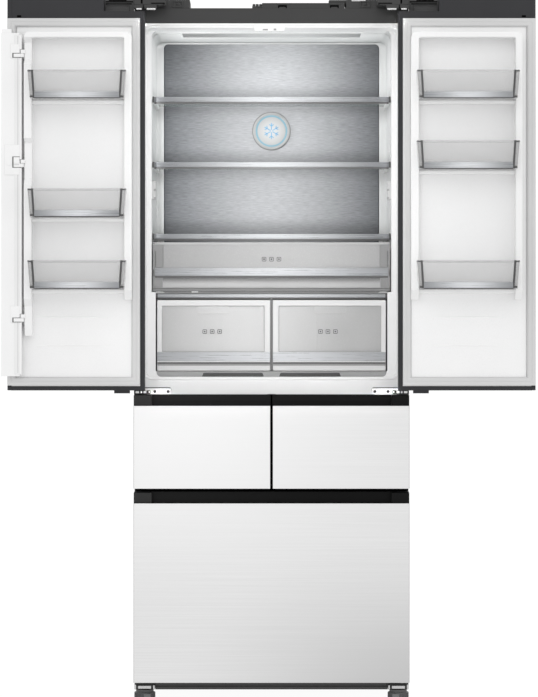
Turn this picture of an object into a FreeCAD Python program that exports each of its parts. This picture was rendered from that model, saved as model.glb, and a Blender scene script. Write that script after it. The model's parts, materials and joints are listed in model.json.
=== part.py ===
import FreeCAD, Part
import math
import os

os.makedirs("parts", exist_ok=True)

# Overall sizes in millimetres, front plane of the cabinet at Y 0, floor at Z 0
cabinet_width = 750.0
cabinet_depth = 540.0
cabinet_top = 1886.0
ground_gap = 28.0
sheet = 1.5
liner_wall = 2.5
face_plate = 2.0

# Fits and gaps
running_fit = 0.05
slide_gap = 0.3
side_gap = 1.0

# Fridge compartment
side_wall = 44.0
ceiling_drop = 53.0
fridge_floor = 878.0
rear_wall = 62.0
cavity_radius = 16.0
mouth_step = 13.0
mouth_depth = 84.0
flange_drop = 40.0
flange_below = 12.0
crisper_step = 11.0
crisper_step_height = 234.0

# Drawer zone
front_thickness = 58.0
seal_gap = 12.0
front_gap = 5.0
freezer_front_bottom = 47.5
freezer_front_top = 535.0
drawer_front_bottom = 575.0
drawer_front_top = 800.0
grip_height = 31.0
grip_depth = 30.0
grip_wall = 2.0
grip_reach = 31.0
grip_end = 76.0
skin_thickness = 4.0
mullion_half = 22.0
frame_rim = 21.0
drawer_rear_wall = 90.0
freezer_floor = 80.0
machine_height = 234.0
machine_depth = 205.0
runner_lip = 3.0

# Doors and hinges
door_gap = 4.0
door_bottom_rise = 36.0
door_top_rise = 22.0
pin_forward = 40.0
pin_inset = 15.0
pin_radius = 4.0
cap_top_height = 54.0
cap_bottom_height = 12.0
cap_short = 10.0
hinge_trim = 12.0
notch_length = 111.0
notch_depth = 35.0
panel_back = 14.0
gasket_width = 23.0
gasket_free_width = 25.0
gasket_clear = 0.5
post_depth = 51.5
post_width = 21.0
bar_height = 16.0
bar_drop = 36.0
plate_thickness = 2.5
bracket_thickness = 4.0

# Door bins
bin_height = 78.0
bin_wall = 2.5
bin_front = 84.0
bin_overlap = 9.0
bin_lift = 40.0
ledge_height = 10.0
ledge_depth = 31.0

# Shelves and trays
shelf_front = 104.0
trim_depth = 14.0
trim_height = 14.0
glass_thickness = 4.0
rib_width = 10.0
rib_height = 8.0
tray_front = 94.0
tray_wall = 2.5
fresh_bottom = 237.0
fresh_height = 135.0
crisper_bottom = 16.0
crisper_height = 196.0
crisper_gap = 7.0
panel_half = 307.5
duct_depth = 40.0
air_cap_radius = 53.0
cap_proud = 8.0

# Feet
foot_radius = 29.0
foot_stem = 5.0
foot_forward = 16.0

vec = FreeCAD.Vector
half = cabinet_width / 2
inner = half - sheet
fridge_half = half - side_wall
fridge_ceiling = cabinet_top - ceiling_drop
fridge_back = cabinet_depth - rear_wall
flange_top = cabinet_top - flange_drop
flange_bottom = fridge_floor - flange_below
front_back = -seal_gap
front_face = front_back - front_thickness
freezer_top = freezer_front_top + grip_height
drawer_top = drawer_front_top + grip_height
freezer_ceiling = freezer_top - frame_rim
drawer_floor = drawer_front_bottom + frame_rim
drawer_ceiling = drawer_top - frame_rim
drawer_back = cabinet_depth - drawer_rear_wall
pan_top = ground_gap + face_plate
machine_top = ground_gap + machine_height
machine_front = cabinet_depth - machine_depth
freezer_back = machine_front - 15.0
door_bottom = fridge_floor - door_bottom_rise
door_top = cabinet_top + door_top_rise
pin_u = half - pin_inset
panel_face = -panel_back
front_reach = 2 * pin_forward + bin_front
centre_shift = (front_reach - cabinet_depth) / 2
crisper_top = fridge_floor + crisper_step_height
fresh_z = fridge_floor + fresh_bottom
fresh_top = fresh_z + fresh_height
low_shelf = fresh_top + 23.0
shelf_space = fridge_ceiling - low_shelf
shelf_levels = {
    "shelf_top": low_shelf + 0.677 * shelf_space,
    "shelf_middle": low_shelf + 0.355 * shelf_space,
    "shelf_bottom": low_shelf,
}
cap_height = low_shelf + 0.545 * shelf_space
clip_height = low_shelf + 0.216 * shelf_space
clip_half = 0.044 * shelf_space
bar_top = fridge_ceiling - bar_drop + bar_height
bar_bottom = fridge_ceiling - bar_drop
low_bin = fridge_floor + 238.0
bin_space = bar_bottom - low_bin
bin_levels = {
    "left": {
        "top": low_bin + 0.753 * bin_space,
        "middle": low_bin + 0.284 * bin_space,
        "bottom": low_bin,
    },
    "right": {
        "top": low_bin + 0.753 * bin_space,
        "middle": low_bin + 0.474 * bin_space,
        "bottom": low_bin,
    },
}


def box(x0, x1, y0, y1, z0, z1):
    """A block between two corners."""
    return Part.makeBox(x1 - x0, y1 - y0, z1 - z0, vec(x0, y0, z0))


def sided(side, u0, u1, y0, y1, z0, z1):
    """A block at a distance u from the middle plane, left for side -1 and right for side 1."""
    x0, x1 = sorted((side * u0, side * u1))
    return box(x0, x1, y0, y1, z0, z1)


def rod(radius, start, way, length):
    """A round bar from a point along a direction."""
    return Part.makeCylinder(radius, length, start, way)


def prism(points, way):
    """A polygon of points swept along a vector."""
    return Part.Face(Part.makePolygon(points + points[:1])).extrude(way)


def across(points, x0, x1):
    """A profile of (y, z) pairs swept from x0 to x1."""
    return prism([vec(x0, y, z) for y, z in points], vec(x1 - x0, 0, 0))


def joined(shapes):
    """Several solids as one."""
    return shapes[0].multiFuse(shapes[1:]).removeSplitter()


def tray(x0, x1, y0, y1, z0, z1, wall):
    """A box with an open top."""
    hollow = box(x0 + wall, x1 - wall, y0 + wall, y1 - wall, z0 + wall, z1 + 1)
    return box(x0, x1, y0, y1, z0, z1).cut(hollow)


def rounded(shape, radius, way):
    """The shape with every straight edge along one axis rounded."""
    edges = [e for e in shape.Edges if abs(abs(e.tangentAt(e.FirstParameter).dot(way)) - 1) < 1e-6]
    return shape.makeFillet(radius, edges)


def save(name, *solids):
    """Writes one node, moved so that the open object stands over the origin."""
    shape = solids[0] if len(solids) == 1 else Part.makeCompound(list(solids))
    shape = shape.copy()
    shape.translate(vec(0, centre_shift, 0))
    shape.exportStep("parts/" + name + ".step")


# Outer wrapper, rear sheet and base pan
wrapper = box(-half, half, 0, cabinet_depth, ground_gap, cabinet_top)
wrapper = wrapper.cut(box(-inner, inner, -1, cabinet_depth + 1, 0, cabinet_top - sheet))
save("outer_wrapper", wrapper)
save("rear_panel", box(-inner, inner, cabinet_depth - sheet, cabinet_depth, machine_top, cabinet_top - sheet))

pan = [box(-inner, inner, face_plate, cabinet_depth - sheet, ground_gap, pan_top)]
foot_u = half - foot_radius
socket_top = freezer_front_bottom - 3.5
foot_spots = {-1: vec(-foot_u, -foot_forward, 0), 1: vec(foot_u, -foot_forward, 0)}
for side in (-1, 1):
    tab_front = -foot_forward - foot_stem * 2 - 8
    pan.append(sided(side, foot_u - foot_radius + 1, inner, tab_front, face_plate, ground_gap, pan_top))
    pan.append(rod(foot_stem + 4, foot_spots[side] + vec(0, 0, pan_top), vec(0, 0, 1), socket_top - pan_top))
    skid_back = cabinet_depth - 30
    pan.append(sided(side, half - 70, half - 20, skid_back - 45, skid_back, 0, ground_gap))
pan = joined(pan)
for side in (-1, 1):
    bore = rod(foot_stem + running_fit, foot_spots[side], vec(0, 0, 1), socket_top - 2)
    pan = pan.cut(bore)
save("base_pan", pan)

# Levelling feet that turn in the pan's sockets
for name, side in (("foot_left", -1), ("foot_right", 1)):
    pad = rod(foot_radius, foot_spots[side], vec(0, 0, 1), 19)
    neck = rod(foot_stem * 2.4, foot_spots[side] + vec(0, 0, 19), vec(0, 0, 1), ground_gap - 19.5)
    stem = rod(foot_stem, foot_spots[side] + vec(0, 0, 19), vec(0, 0, 1), socket_top - 23)
    save(name, joined([pad, neck, stem]))

# Fridge liner with its ribs, rails and crisper steps
cavity = box(-fridge_half, fridge_half, -10, fridge_back, fridge_floor, fridge_ceiling)
long_edges = []
for edge in cavity.Edges:
    way = edge.tangentAt(edge.FirstParameter)
    if abs(way.y) > 0.9 or (abs(way.z) > 0.9 and edge.CenterOfMass.y > 0):
        long_edges.append(edge)
cavity = cavity.makeFillet(cavity_radius, long_edges)
mouth_half = fridge_half + mouth_step
mouth = box(-mouth_half, mouth_half, -10, mouth_depth, fridge_floor, fridge_ceiling)
mouth = rounded(mouth, cavity_radius, vec(0, 1, 0))
cavity = cavity.fuse(mouth)
shell_half = fridge_half + liner_wall
shell_top = fridge_ceiling + liner_wall
shell_floor = fridge_floor - liner_wall
shell_back = fridge_back + liner_wall
fridge_shell = box(-shell_half, shell_half, face_plate, shell_back, shell_floor, shell_top)
mouth_shell = mouth_half + liner_wall
fridge_shell = fridge_shell.fuse(box(-mouth_shell, mouth_shell, face_plate, mouth_depth + liner_wall,
    shell_floor, shell_top))
flange = box(-inner, inner, 0, face_plate, flange_bottom, flange_top)
liner_parts = [flange.fuse(fridge_shell).cut(cavity)]
rib_start = shelf_front + trim_depth + 4
rib_end = fridge_back - duct_depth - 8
rail_top = fresh_top - 10
for side in (-1, 1):
    wall_u = fridge_half - rib_width
    for level in shelf_levels.values():
        rib_top = level - 1 - glass_thickness
        liner_parts.append(sided(side, wall_u, fridge_half, rib_start, rib_end, rib_top - rib_height,
            rib_top))
    liner_parts.append(sided(side, wall_u, fridge_half, rib_start, rib_end, rail_top - 12, rail_top))
    liner_parts.append(sided(side, wall_u, fridge_half, shelf_front, rib_start + 30,
        clip_height - clip_half, clip_height + clip_half))
    step_u = fridge_half - crisper_step
    liner_parts.append(sided(side, step_u, fridge_half, mouth_depth, fridge_back,
        fridge_floor + cavity_radius, crisper_top))
    floor_rib = fridge_floor + crisper_bottom + 2 - slide_gap
    for u in (30, step_u - 40):
        liner_parts.append(sided(side, u, u + 12, rib_start, rib_end, fridge_floor, floor_rib))
fridge_liner = joined(liner_parts)
save("fridge_liner", fridge_liner)

# Liners of the three drawer compartments
mid_liners = []
for side in (-1, 1):
    outside = sided(side, mullion_half - liner_wall, shell_half, face_plate, drawer_back + liner_wall,
                    drawer_floor - liner_wall, drawer_ceiling + liner_wall)
    inside = sided(side, mullion_half, fridge_half, 0, drawer_back, drawer_floor, drawer_ceiling)
    mid_liners.append(outside.cut(inside))
save("drawer_liners", *mid_liners)
freezer_outside = box(-shell_half, shell_half, face_plate, freezer_back + liner_wall,
                      freezer_floor - liner_wall, freezer_ceiling + liner_wall)
freezer_inside = box(-fridge_half, fridge_half, 0, freezer_back, freezer_floor, freezer_ceiling)
save("freezer_liner", freezer_outside.cut(freezer_inside))

# Front frame, top trim and base rail
frame = box(-inner, inner, 0, face_plate, pan_top, flange_bottom)
frame = frame.cut(box(-fridge_half, fridge_half, -1, face_plate + 1, freezer_floor, freezer_ceiling))
for side in (-1, 1):
    frame = frame.cut(sided(side, mullion_half, fridge_half, -1, face_plate + 1, drawer_floor,
        drawer_ceiling))
plate_u = (275.0 / 375.0 * half, 349.0 / 375.0 * half)
plate_z = (door_bottom - 12, door_bottom + 5)
screw_z = door_bottom - 3.5
screw_u = (plate_u[0] + 8, plate_u[0] + 44)
screw_radius = 2.2
screws = []
for side in (-1, 1):
    for u in screw_u:
        start = vec(side * u, -plate_thickness, screw_z)
        screws.append(joined([
            rod(screw_radius, start, vec(0, 1, 0), plate_thickness + face_plate),
            rod(screw_radius * 1.9, start - vec(0, 2, 0), vec(0, 1, 0), 2),
        ]))
        frame = frame.cut(rod(screw_radius, vec(side * u, -1, screw_z), vec(0, 1, 0), face_plate + 2))
save("front_frame", frame)
save("top_trim", box(-inner, inner, 0, face_plate, flange_top, cabinet_top - sheet))
rail_half = foot_u - foot_radius
rail_profile = [(-32, 28), (-30, 26), (-24, 26), (0, 32), (0, socket_top), (-26, socket_top), (-26, 33),
    (-32, 33)]
save("base_rail", across(rail_profile, -rail_half, rail_half))

# Insulation between the wrapper and the liners
foam = box(-inner, inner, face_plate, cabinet_depth - sheet, pan_top, cabinet_top - sheet)
evap_half = fridge_half - 100
evap_z = (machine_top + 35, freezer_ceiling - 20)
evap_back = freezer_back + liner_wall + 75
hollows = [
    fridge_shell,
    box(-shell_half, shell_half, 0, freezer_back + liner_wall, freezer_floor - liner_wall,
        freezer_ceiling + liner_wall),
    box(-inner, inner, machine_front, cabinet_depth, pan_top, machine_top),
    box(-evap_half, evap_half, freezer_back, evap_back, evap_z[0], evap_z[1]),
]
for side in (-1, 1):
    hollows.append(sided(side, mullion_half - liner_wall, shell_half, 0, drawer_back + liner_wall,
                         drawer_floor - liner_wall, drawer_ceiling + liner_wall))
save("cabinet_foam", foam.cut(hollows))

# Top hinges with their pins, lower hinges with theirs, and the screws
top_hinges = []
lower_hinges = []
bracket_top = cabinet_top + bracket_thickness
pin_depth = door_top - notch_depth - cap_top_height + notch_depth + 1
for side in (-1, 1):
    pin_point = vec(side * pin_u, -pin_forward, 0)
    plate = sided(side, half - 85, half - 3, 0, 95, cabinet_top, bracket_top)
    arm = sided(side, half - 32, half - 1, -pin_forward - 14, 0, cabinet_top, bracket_top)
    pin = rod(pin_radius, pin_point + vec(0, 0, pin_depth), vec(0, 0, 1), bracket_top - pin_depth)
    hinge = joined([plate, arm, pin])
    for u, y in ((half - 68, 25), (half - 20, 25), (half - 44, 75)):
        start = vec(side * u, y, cabinet_top)
        hinge = hinge.cut(rod(screw_radius, start - vec(0, 0, 1), vec(0, 0, 1), bracket_thickness + 2))
        screws.append(joined([
            rod(screw_radius, start, vec(0, 0, 1), bracket_thickness),
            rod(screw_radius * 1.9, start + vec(0, 0, bracket_thickness), vec(0, 0, 1), 2),
        ]))
    top_hinges.append(hinge)
    plate = sided(side, plate_u[0], plate_u[1], -plate_thickness, 0, plate_z[0], plate_z[1])
    arm_z = (door_bottom - 10, door_bottom - 5)
    arm = sided(side, half - 35, half - 1, -pin_forward - 12, 0, arm_z[0], arm_z[1])
    pin = rod(pin_radius, pin_point + vec(0, 0, arm_z[0]), vec(0, 0, 1), cap_bottom_height + 9)
    hinge = joined([plate, arm, pin])
    for u in screw_u:
        hinge = hinge.cut(rod(screw_radius, vec(side * u, -plate_thickness - 1, screw_z), vec(0, 1, 0), 10))
    lower_hinges.append(hinge)
save("top_hinges", *top_hinges)
save("lower_hinges", *lower_hinges)
save("hinge_screws", *screws)

# Covers over the top hinges and the control box between them
cover_top = cabinet_top + 26
cover_wall = 2.5
covers = []
for side, reach in ((-1, 223.0 / 375.0 * half), (1, 203.0 / 375.0 * half)):
    main = sided(side, reach, half - 1, 0, 120, cabinet_top, cover_top)
    nose = sided(side, half - 88, half - 0.5, -pin_forward - 20, 0, cabinet_top, cover_top)
    main_room = sided(side, reach + cover_wall, half - 2, 0, 120 - cover_wall, 0, cover_top - cover_wall)
    nose_room = sided(side, half - 87, half - 0.9, -pin_forward - 18, 1, 0, cover_top - cover_wall)
    cover = joined([main, nose]).cut(main_room)
    covers.append(cover.cut(nose_room))
control = box(-26, 200.0 / 375.0 * half, 0, 150, cabinet_top, cabinet_top + 16)
control = control.cut(box(-23, 197.0 / 375.0 * half, 3, 147, 0, cabinet_top + 13))
for x in (18, 160):
    control = control.cut(box(x, x + 24, -1, 4, cabinet_top - 1, cabinet_top + 10))
save("top_covers", covers[0], covers[1], control)

# Steel air panel on the back wall, its round cover, fan motor and fan
panel_front = fridge_back - duct_depth
panel_z = (crisper_top + 8, fridge_ceiling - 6)
panel_x = panel_half / 375.0 * half
duct = box(-panel_x, panel_x, panel_front, fridge_back, panel_z[0], panel_z[1])
duct = duct.cut(box(-panel_x + 2, panel_x - 2, panel_front + 2, fridge_back + 1, panel_z[0] + 2,
    panel_z[1] - 2))
fan_centre = vec(0, panel_front, cap_height)
duct = duct.cut(rod(air_cap_radius - 13, fan_centre - vec(0, 5, 0), vec(0, 1, 0), 20))
save("back_panel", duct)
cap = rod(air_cap_radius, fan_centre - vec(0, cap_proud, 0), vec(0, 1, 0), cap_proud)
ring = rod(air_cap_radius - 6, fan_centre - vec(0, cap_proud + 1, 0), vec(0, 1, 0), 2)
ring = ring.cut(rod(air_cap_radius - 10, fan_centre - vec(0, cap_proud + 1, 0), vec(0, 1, 0), 2))
save("air_cap", cap.cut(ring))
shaft_radius = 3.0
motor = rod(20, fan_centre + vec(0, duct_depth - 10, 0), vec(0, 1, 0), 10)
shaft = rod(shaft_radius, fan_centre + vec(0, 7, 0), vec(0, 1, 0), duct_depth - 17)
save("fan_motor", joined([motor, shaft]))
hub = rod(13, fan_centre + vec(0, 8, 0), vec(0, 1, 0), 18)
blades = [hub]
for index in range(5):
    blade = box(10, air_cap_radius - 15, -1, 1, -9, 9)
    blade.rotate(vec(0, 0, 0), vec(1, 0, 0), 50)
    blade.translate(fan_centre + vec(0, 17, 0))
    blade.rotate(fan_centre, vec(0, 1, 0), 72 * index)
    blades.append(blade)
fan = joined(blades).cut(rod(shaft_radius + running_fit, fan_centre, vec(0, 1, 0), 40))
save("air_fan", fan)

# Ceiling lamp and the guide of the centre flap
lamp_half = 252.0 / 375.0 * half
save("ceiling_lamp", box(-lamp_half, lamp_half, 163, 272, fridge_ceiling - 7, fridge_ceiling))
guide = box(-47, 37, 4, 34, fridge_ceiling - 8.5, fridge_ceiling)
guide = guide.cut(box(-20, 14, 3, 22, fridge_ceiling - 10, fridge_ceiling - 5))
save("flap_guide", guide)

# Glass shelves with front trims
shelf_half = fridge_half - 1.5
shelf_back = panel_front - cap_proud - 2
for name, level in shelf_levels.items():
    trim = box(-shelf_half, shelf_half, shelf_front, shelf_front + trim_depth, level - trim_height, level)
    trim = rounded(trim, 3, vec(1, 0, 0))
    glass = box(-shelf_half, shelf_half, shelf_front + trim_depth, shelf_back,
        level - 1 - glass_thickness, level - 1)
    save(name, glass, trim)
step_half = fridge_half - crisper_step
glass_top = crisper_top - 6
glass = box(-step_half, step_half, shelf_front + trim_depth, shelf_back, glass_top - glass_thickness,
    glass_top)
trim = box(-step_half, step_half, shelf_front, shelf_front + trim_depth, glass_top - 10, glass_top + 1)
save("crisper_shelf", glass, trim)

# Fresh food drawer on the liner's rails
body_half = fridge_half - rib_width - 3
tray_back = panel_front - 12
body = tray(-body_half, body_half, tray_front + 5, tray_back, fresh_z + 2, rail_top + 4, tray_wall)
front = box(-fridge_half + 3, fridge_half - 3, tray_front, tray_front + 5 + tray_wall, fresh_z, fresh_top)
front = rounded(front, 1.5, vec(1, 0, 0))
rims = []
for side in (-1, 1):
    rims.append(sided(side, body_half - 1, fridge_half - 2, tray_front + 5, tray_back,
        rail_top + slide_gap, rail_top + 4))
save("fresh_tray", joined([body, front] + rims))
handle_half = fridge_half - 9
save("fresh_handle", box(-handle_half, handle_half, tray_front - 4, tray_front, fresh_z + 42, fresh_z + 64))

# Crispers on the floor ribs
crisper_z = fridge_floor + crisper_bottom
for name, side in (("crisper_left", -1), ("crisper_right", 1)):
    u0, u1 = crisper_gap / 2, step_half - 4
    x0, x1 = sorted((side * (u0 + 4), side * (u1 - 4)))
    body = tray(x0, x1, tray_front + 6, tray_back, crisper_z + 2, crisper_z + crisper_height - 10, tray_wall)
    save(name + "_tray", body)
    plate = sided(side, u0, u1, tray_front, tray_front + 6, crisper_z, crisper_z + crisper_height)
    window = sided(side, u0 + 16, u1 - 13, tray_front - 1, tray_front + 7, crisper_z + 55,
        crisper_z + crisper_height - 16)
    window = rounded(window, 5, vec(0, 1, 0))
    save(name + "_front", plate.cut(window))


# Insulated drawer fronts, their grip channels, boxes and runners
def drawer_front(x0, x1, bottom, top):
    """The block behind the skin, with a channel for the grip along its top edge."""
    channel = front_face + skin_thickness
    profile = [
        (front_face, bottom), (front_face, top), (channel, top), (channel, top - grip_depth),
        (channel + grip_reach, top - grip_depth), (channel + grip_reach, top + grip_height),
        (front_back, top + grip_height), (front_back, bottom),
    ]
    return across(profile, x0, x1)


def grip_channel(x0, x1, top, ends):
    """The folded black channel that the fingers reach into, with solid plugs at some ends."""
    start = front_face + skin_thickness
    stop = start + grip_reach
    low = top - grip_depth
    profile = [
        (start, low), (stop, low), (stop, top + grip_height), (stop - grip_wall, top + grip_height),
        (stop - grip_wall, low + grip_wall), (start + grip_wall, low + grip_wall),
        (start + grip_wall, top - 3), (start, top - 3),
    ]
    shapes = [across(profile, x0, x1)]
    for end in ends:
        a, b = (x0, x0 + grip_end) if end < 0 else (x1 - grip_end, x1)
        shapes.append(box(a, b, start + 6, stop - 1, low + 1, top + grip_height - 2))
    return joined(shapes)


runners = []
drawer_box_z = (drawer_floor + 10, drawer_ceiling - 20)
drawer_rail = drawer_floor + 45
for name, side in (("drawer_left", -1), ("drawer_right", 1)):
    x0, x1 = sorted((side * front_gap / 2, side * half))
    save(name + "_front", drawer_front(x0, x1, drawer_front_bottom, drawer_front_top))
    save(name + "_grip", grip_channel(x0, x1, drawer_front_top, (side,)))
    u0, u1 = mullion_half + 18, fridge_half - 18
    x0, x1 = sorted((side * u0, side * u1))
    back = drawer_back - 25
    body = tray(x0, x1, front_back, back, drawer_box_z[0], drawer_box_z[1], tray_wall)
    bars = []
    for a, b in ((u0 - 4, u0), (u1, u1 + 4)):
        bars.append(sided(side, a, b, front_back + 7, back, drawer_rail + slide_gap, drawer_rail + 19))
    save(name + "_box", joined([body] + bars))
    for wall, reach in ((mullion_half, u0 - 1), (fridge_half, u1 + 1)):
        web = 3 if wall < reach else -3
        low = drawer_rail - runner_lip
        a, b = sorted((wall, wall + web))
        upright = sided(side, a, b, 6, drawer_back - 20, low - 2, drawer_rail + 23)
        a, b = sorted((wall, reach))
        runners.append(joined([upright, sided(side, a, b, 6, drawer_back - 20, low, drawer_rail)]))
save("freezer_front", drawer_front(-half, half, freezer_front_bottom, freezer_front_top))
save("freezer_grip", grip_channel(-half, half, freezer_front_top, (-1, 1)))
box_half = fridge_half - 31
freezer_rail = (freezer_floor + freezer_ceiling) / 2
body = tray(-box_half, box_half, front_back, freezer_back - 15, freezer_floor + 15, freezer_ceiling - 40,
    tray_wall)
bars = []
for side in (-1, 1):
    bars.append(sided(side, box_half, box_half + 4, front_back + 7, freezer_back - 15,
                      freezer_rail + slide_gap, freezer_rail + 19))
    upright = sided(side, fridge_half - 3, fridge_half, 6, freezer_back - 10, freezer_rail - 5,
        freezer_rail + 23)
    lip = sided(side, box_half + 1, fridge_half, 6, freezer_back - 10, freezer_rail - runner_lip,
        freezer_rail)
    runners.append(joined([upright, lip]))
save("freezer_box", joined([body] + bars))
save("drawer_runners", *runners)


# Doors, built shut and then swung open by half a turn about their pins
def swung(shape, side):
    """The closed shape turned to the open position."""
    shape = shape.copy()
    shape.rotate(vec(side * pin_u, -pin_forward, 0), vec(0, 0, 1), 180)
    return shape


flap_axis = (45.0, 20.0)
flap_edge = 38.5
flap_far = -13.0
flap_pin = 2.5
knuckle = 5.0
knuckle_height = 10.0
flap_bottom = fridge_floor + 2.5
flap_top = fridge_ceiling - 22
flap_levels = [flap_bottom + share * (flap_top - flap_bottom) for share in (0.17, 0.62, 0.94)]
bump = (half - 83, half - 41)
free_posts = {"left": (50.4, 50.4 + post_width), "right": (41.8, 41.8 + post_width - 3)}
for name, side in (("left", -1), ("right", 1)):
    edge = door_gap / 2
    cap_low = door_top - cap_top_height
    cap_floor = door_top - notch_depth
    cap_rise = door_bottom + cap_bottom_height
    notch_u = half - notch_length
    back = front_face + skin_thickness
    panel = joined([
        sided(side, edge, half - hinge_trim, back, panel_face, cap_rise, cap_low),
        sided(side, edge, half, front_face, back, door_bottom, cap_floor),
        sided(side, edge, notch_u, front_face, back, door_bottom, door_top),
    ])
    save(name + "_door_panel", swung(panel, side))

    # Dark end caps and hinge edge in one frame, with the bores for the pins
    low = edge + cap_short
    caps = joined([
        sided(side, low, half, back, panel_face, cap_low, cap_floor),
        sided(side, low, notch_u, back, panel_face, cap_floor, door_top),
        sided(side, half - hinge_trim, half, back, panel_face, door_bottom, cap_floor),
        sided(side, low, half, back, panel_face, door_bottom, cap_rise),
        sided(side, bump[0], bump[1], front_face + 20, front_face + 50, door_bottom - 8, door_bottom),
    ])
    pin_point = vec(side * pin_u, -pin_forward, 0)
    for z0, z1 in ((cap_low, cap_floor + 1), (door_bottom - 1, cap_rise)):
        caps = caps.cut(rod(pin_radius + running_fit, pin_point + vec(0, 0, z0), vec(0, 0, 1), z1 - z0))
    save(name + "_door_frame", swung(caps, side))

    # Gasket frame
    g0, g1 = edge + 0.5, half - hinge_trim
    gz0, gz1 = cap_rise + 1.6, cap_low - 1
    gasket = sided(side, g0, g1, panel_face, -gasket_clear, gz0, gz1)
    hole = (g0 + gasket_free_width, g1 - gasket_width + 2)
    gasket = gasket.cut(sided(side, hole[0], hole[1], panel_face - 1, 0, gz0 + gasket_width,
        gz1 - gasket_width))
    save(name + "_door_gasket", swung(gasket, side))

    # Inner liner: plate, two posts, top bar and a ledge under each bin
    face = panel_face + liner_wall
    post_top = panel_face + post_depth + liner_wall
    sill = gz0 + gasket_width
    head = gz1 - gasket_width
    shapes = [sided(side, hole[0], hole[1], panel_face, face, sill, head)]
    free = free_posts[name]
    hinge_post = (hole[1] - post_width - 1, hole[1] - 1)
    for post in (free, hinge_post):
        foot = low_bin - 28
        if name == "left" and post is free:
            foot = flap_levels[0] - 48
        profile = [(face, bar_top), (post_top, bar_top), (post_top, foot + 25), (post_top - 30, foot),
            (face, foot)]
        x0, x1 = sorted((side * post[0], side * post[1]))
        shapes.append(across(profile, x0, x1))
    shapes.append(sided(side, free[0], hinge_post[1], face, post_top, bar_bottom, bar_top))
    for level in bin_levels[name].values():
        shapes.append(sided(side, free[1], hinge_post[0], face, face + ledge_depth, level - ledge_height,
            level))
    if name == "left":
        for level in flap_levels:
            spot = vec(-flap_axis[0], flap_axis[1], level)
            shapes.append(rod(knuckle, spot, vec(0, 0, 1), knuckle_height))
            arm = box(-free[0] - 1, -flap_axis[0], flap_axis[1] - knuckle, flap_axis[1] + knuckle, level,
                level + knuckle_height)
            shapes.append(arm)
            shapes.append(rod(flap_pin, spot - vec(0, 0, knuckle_height), vec(0, 0, 1), knuckle_height))
    save(name + "_door_liner", swung(joined(shapes), side))

    # Bins that lift off their ledges
    for level_name, level in bin_levels[name].items():
        r0, r1 = free[1] + side_gap, hinge_post[0] - side_gap
        f0, f1 = free[1] - bin_overlap, hinge_post[0] + bin_overlap
        shoulder = post_top + side_gap
        rear = sided(side, r0, r1, face + slide_gap, bin_front, level, level + bin_height)
        wide = sided(side, f0, f1, shoulder, bin_front, level, level + bin_height)
        rear_room = sided(side, r0 + bin_wall, r1 - bin_wall, face + slide_gap + bin_wall,
            bin_front - bin_wall,
                          level + bin_wall, level + bin_height + 1)
        wide_room = sided(side, f0 + bin_wall, f1 - bin_wall, shoulder + bin_wall, bin_front - bin_wall,
                          level + bin_wall, level + bin_height + 1)
        basket = joined([rear, wide]).cut(joined([rear_room, wide_room]))
        save(name + "_bin_" + level_name, swung(basket, side))

# Folding centre flap on the left door's free edge
flap = box(-flap_edge, -flap_far, 0.6, flap_axis[1] - 0.6, flap_bottom, flap_top)
flap = rounded(flap, 3, vec(0, 0, 1))
flap_parts = [flap, box(-16, 11, 3, 17, flap_top, flap_top + 11)]
for level in flap_levels:
    spot = vec(-flap_axis[0], flap_axis[1], level - slide_gap - knuckle_height)
    flap_parts.append(rod(knuckle, spot, vec(0, 0, 1), knuckle_height))
    flap_parts.append(box(-flap_axis[0], -flap_edge + 4, flap_axis[1] - knuckle, flap_axis[1] - 0.6,
                          spot.z, spot.z + knuckle_height))
flap = joined(flap_parts)
for level in flap_levels:
    spot = vec(-flap_axis[0], flap_axis[1], level - slide_gap - knuckle_height - 1)
    flap = flap.cut(rod(flap_pin + running_fit, spot, vec(0, 0, 1), knuckle_height + 2))
save("door_flap", swung(flap, -1))

# Compressor on its rubber mounts, evaporator and machine space cover
pot_spot = vec(150.0 / 375.0 * half, cabinet_depth - machine_depth / 2, pan_top)
pot = rod(70, pot_spot + vec(0, 0, 14), vec(0, 0, 1), 140)
pot = pot.makeFillet(22, [e for e in pot.Edges if e.isClosed()])
compressor = [pot, box(pot_spot.x - 85, pot_spot.x + 85, pot_spot.y - 60, pot_spot.y + 60, pan_top + 10,
    pan_top + 14.5)]
for dx in (-70, 70):
    for dy in (-46, 46):
        compressor.append(rod(11, pot_spot + vec(dx, dy, 0), vec(0, 0, 1), 10.5))
save("compressor", joined(compressor))
slab_back = freezer_back + liner_wall + 8
fins = [box(-evap_half + 8, evap_half - 8, freezer_back + liner_wall, slab_back, evap_z[0] + 5,
    evap_z[1] - 5)]
fin_count = 22
pitch = (2 * evap_half - 20) / (fin_count - 1)
for index in range(fin_count):
    x = -evap_half + 8.5 + index * pitch
    fins.append(box(x, x + 3, slab_back, evap_back - 8, evap_z[0] + 8, evap_z[1] - 8))
for level in (0.2, 0.4, 0.6, 0.8):
    z = evap_z[0] + level * (evap_z[1] - evap_z[0])
    fins.append(rod(5, vec(-evap_half + 8, evap_back - 35, z), vec(1, 0, 0), 2 * evap_half - 16))
save("evaporator", joined(fins))
cover = box(-inner, inner, cabinet_depth - sheet, cabinet_depth, pan_top, machine_top)
slots = []
for row in range(8):
    z = pan_top + 40 + row * 20
    for x in (-260, -80, 100):
        slots.append(box(x, x + 150, cabinet_depth - 5, cabinet_depth + 1, z, z + 6))
slots.append(rod(6, vec(-half + 40, cabinet_depth - 5, pan_top + 25), vec(0, 1, 0), 10))
save("machine_cover", cover.cut(slots))
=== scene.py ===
import json
import math

import bmesh
import bpy
from mathutils import Matrix, Vector


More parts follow.
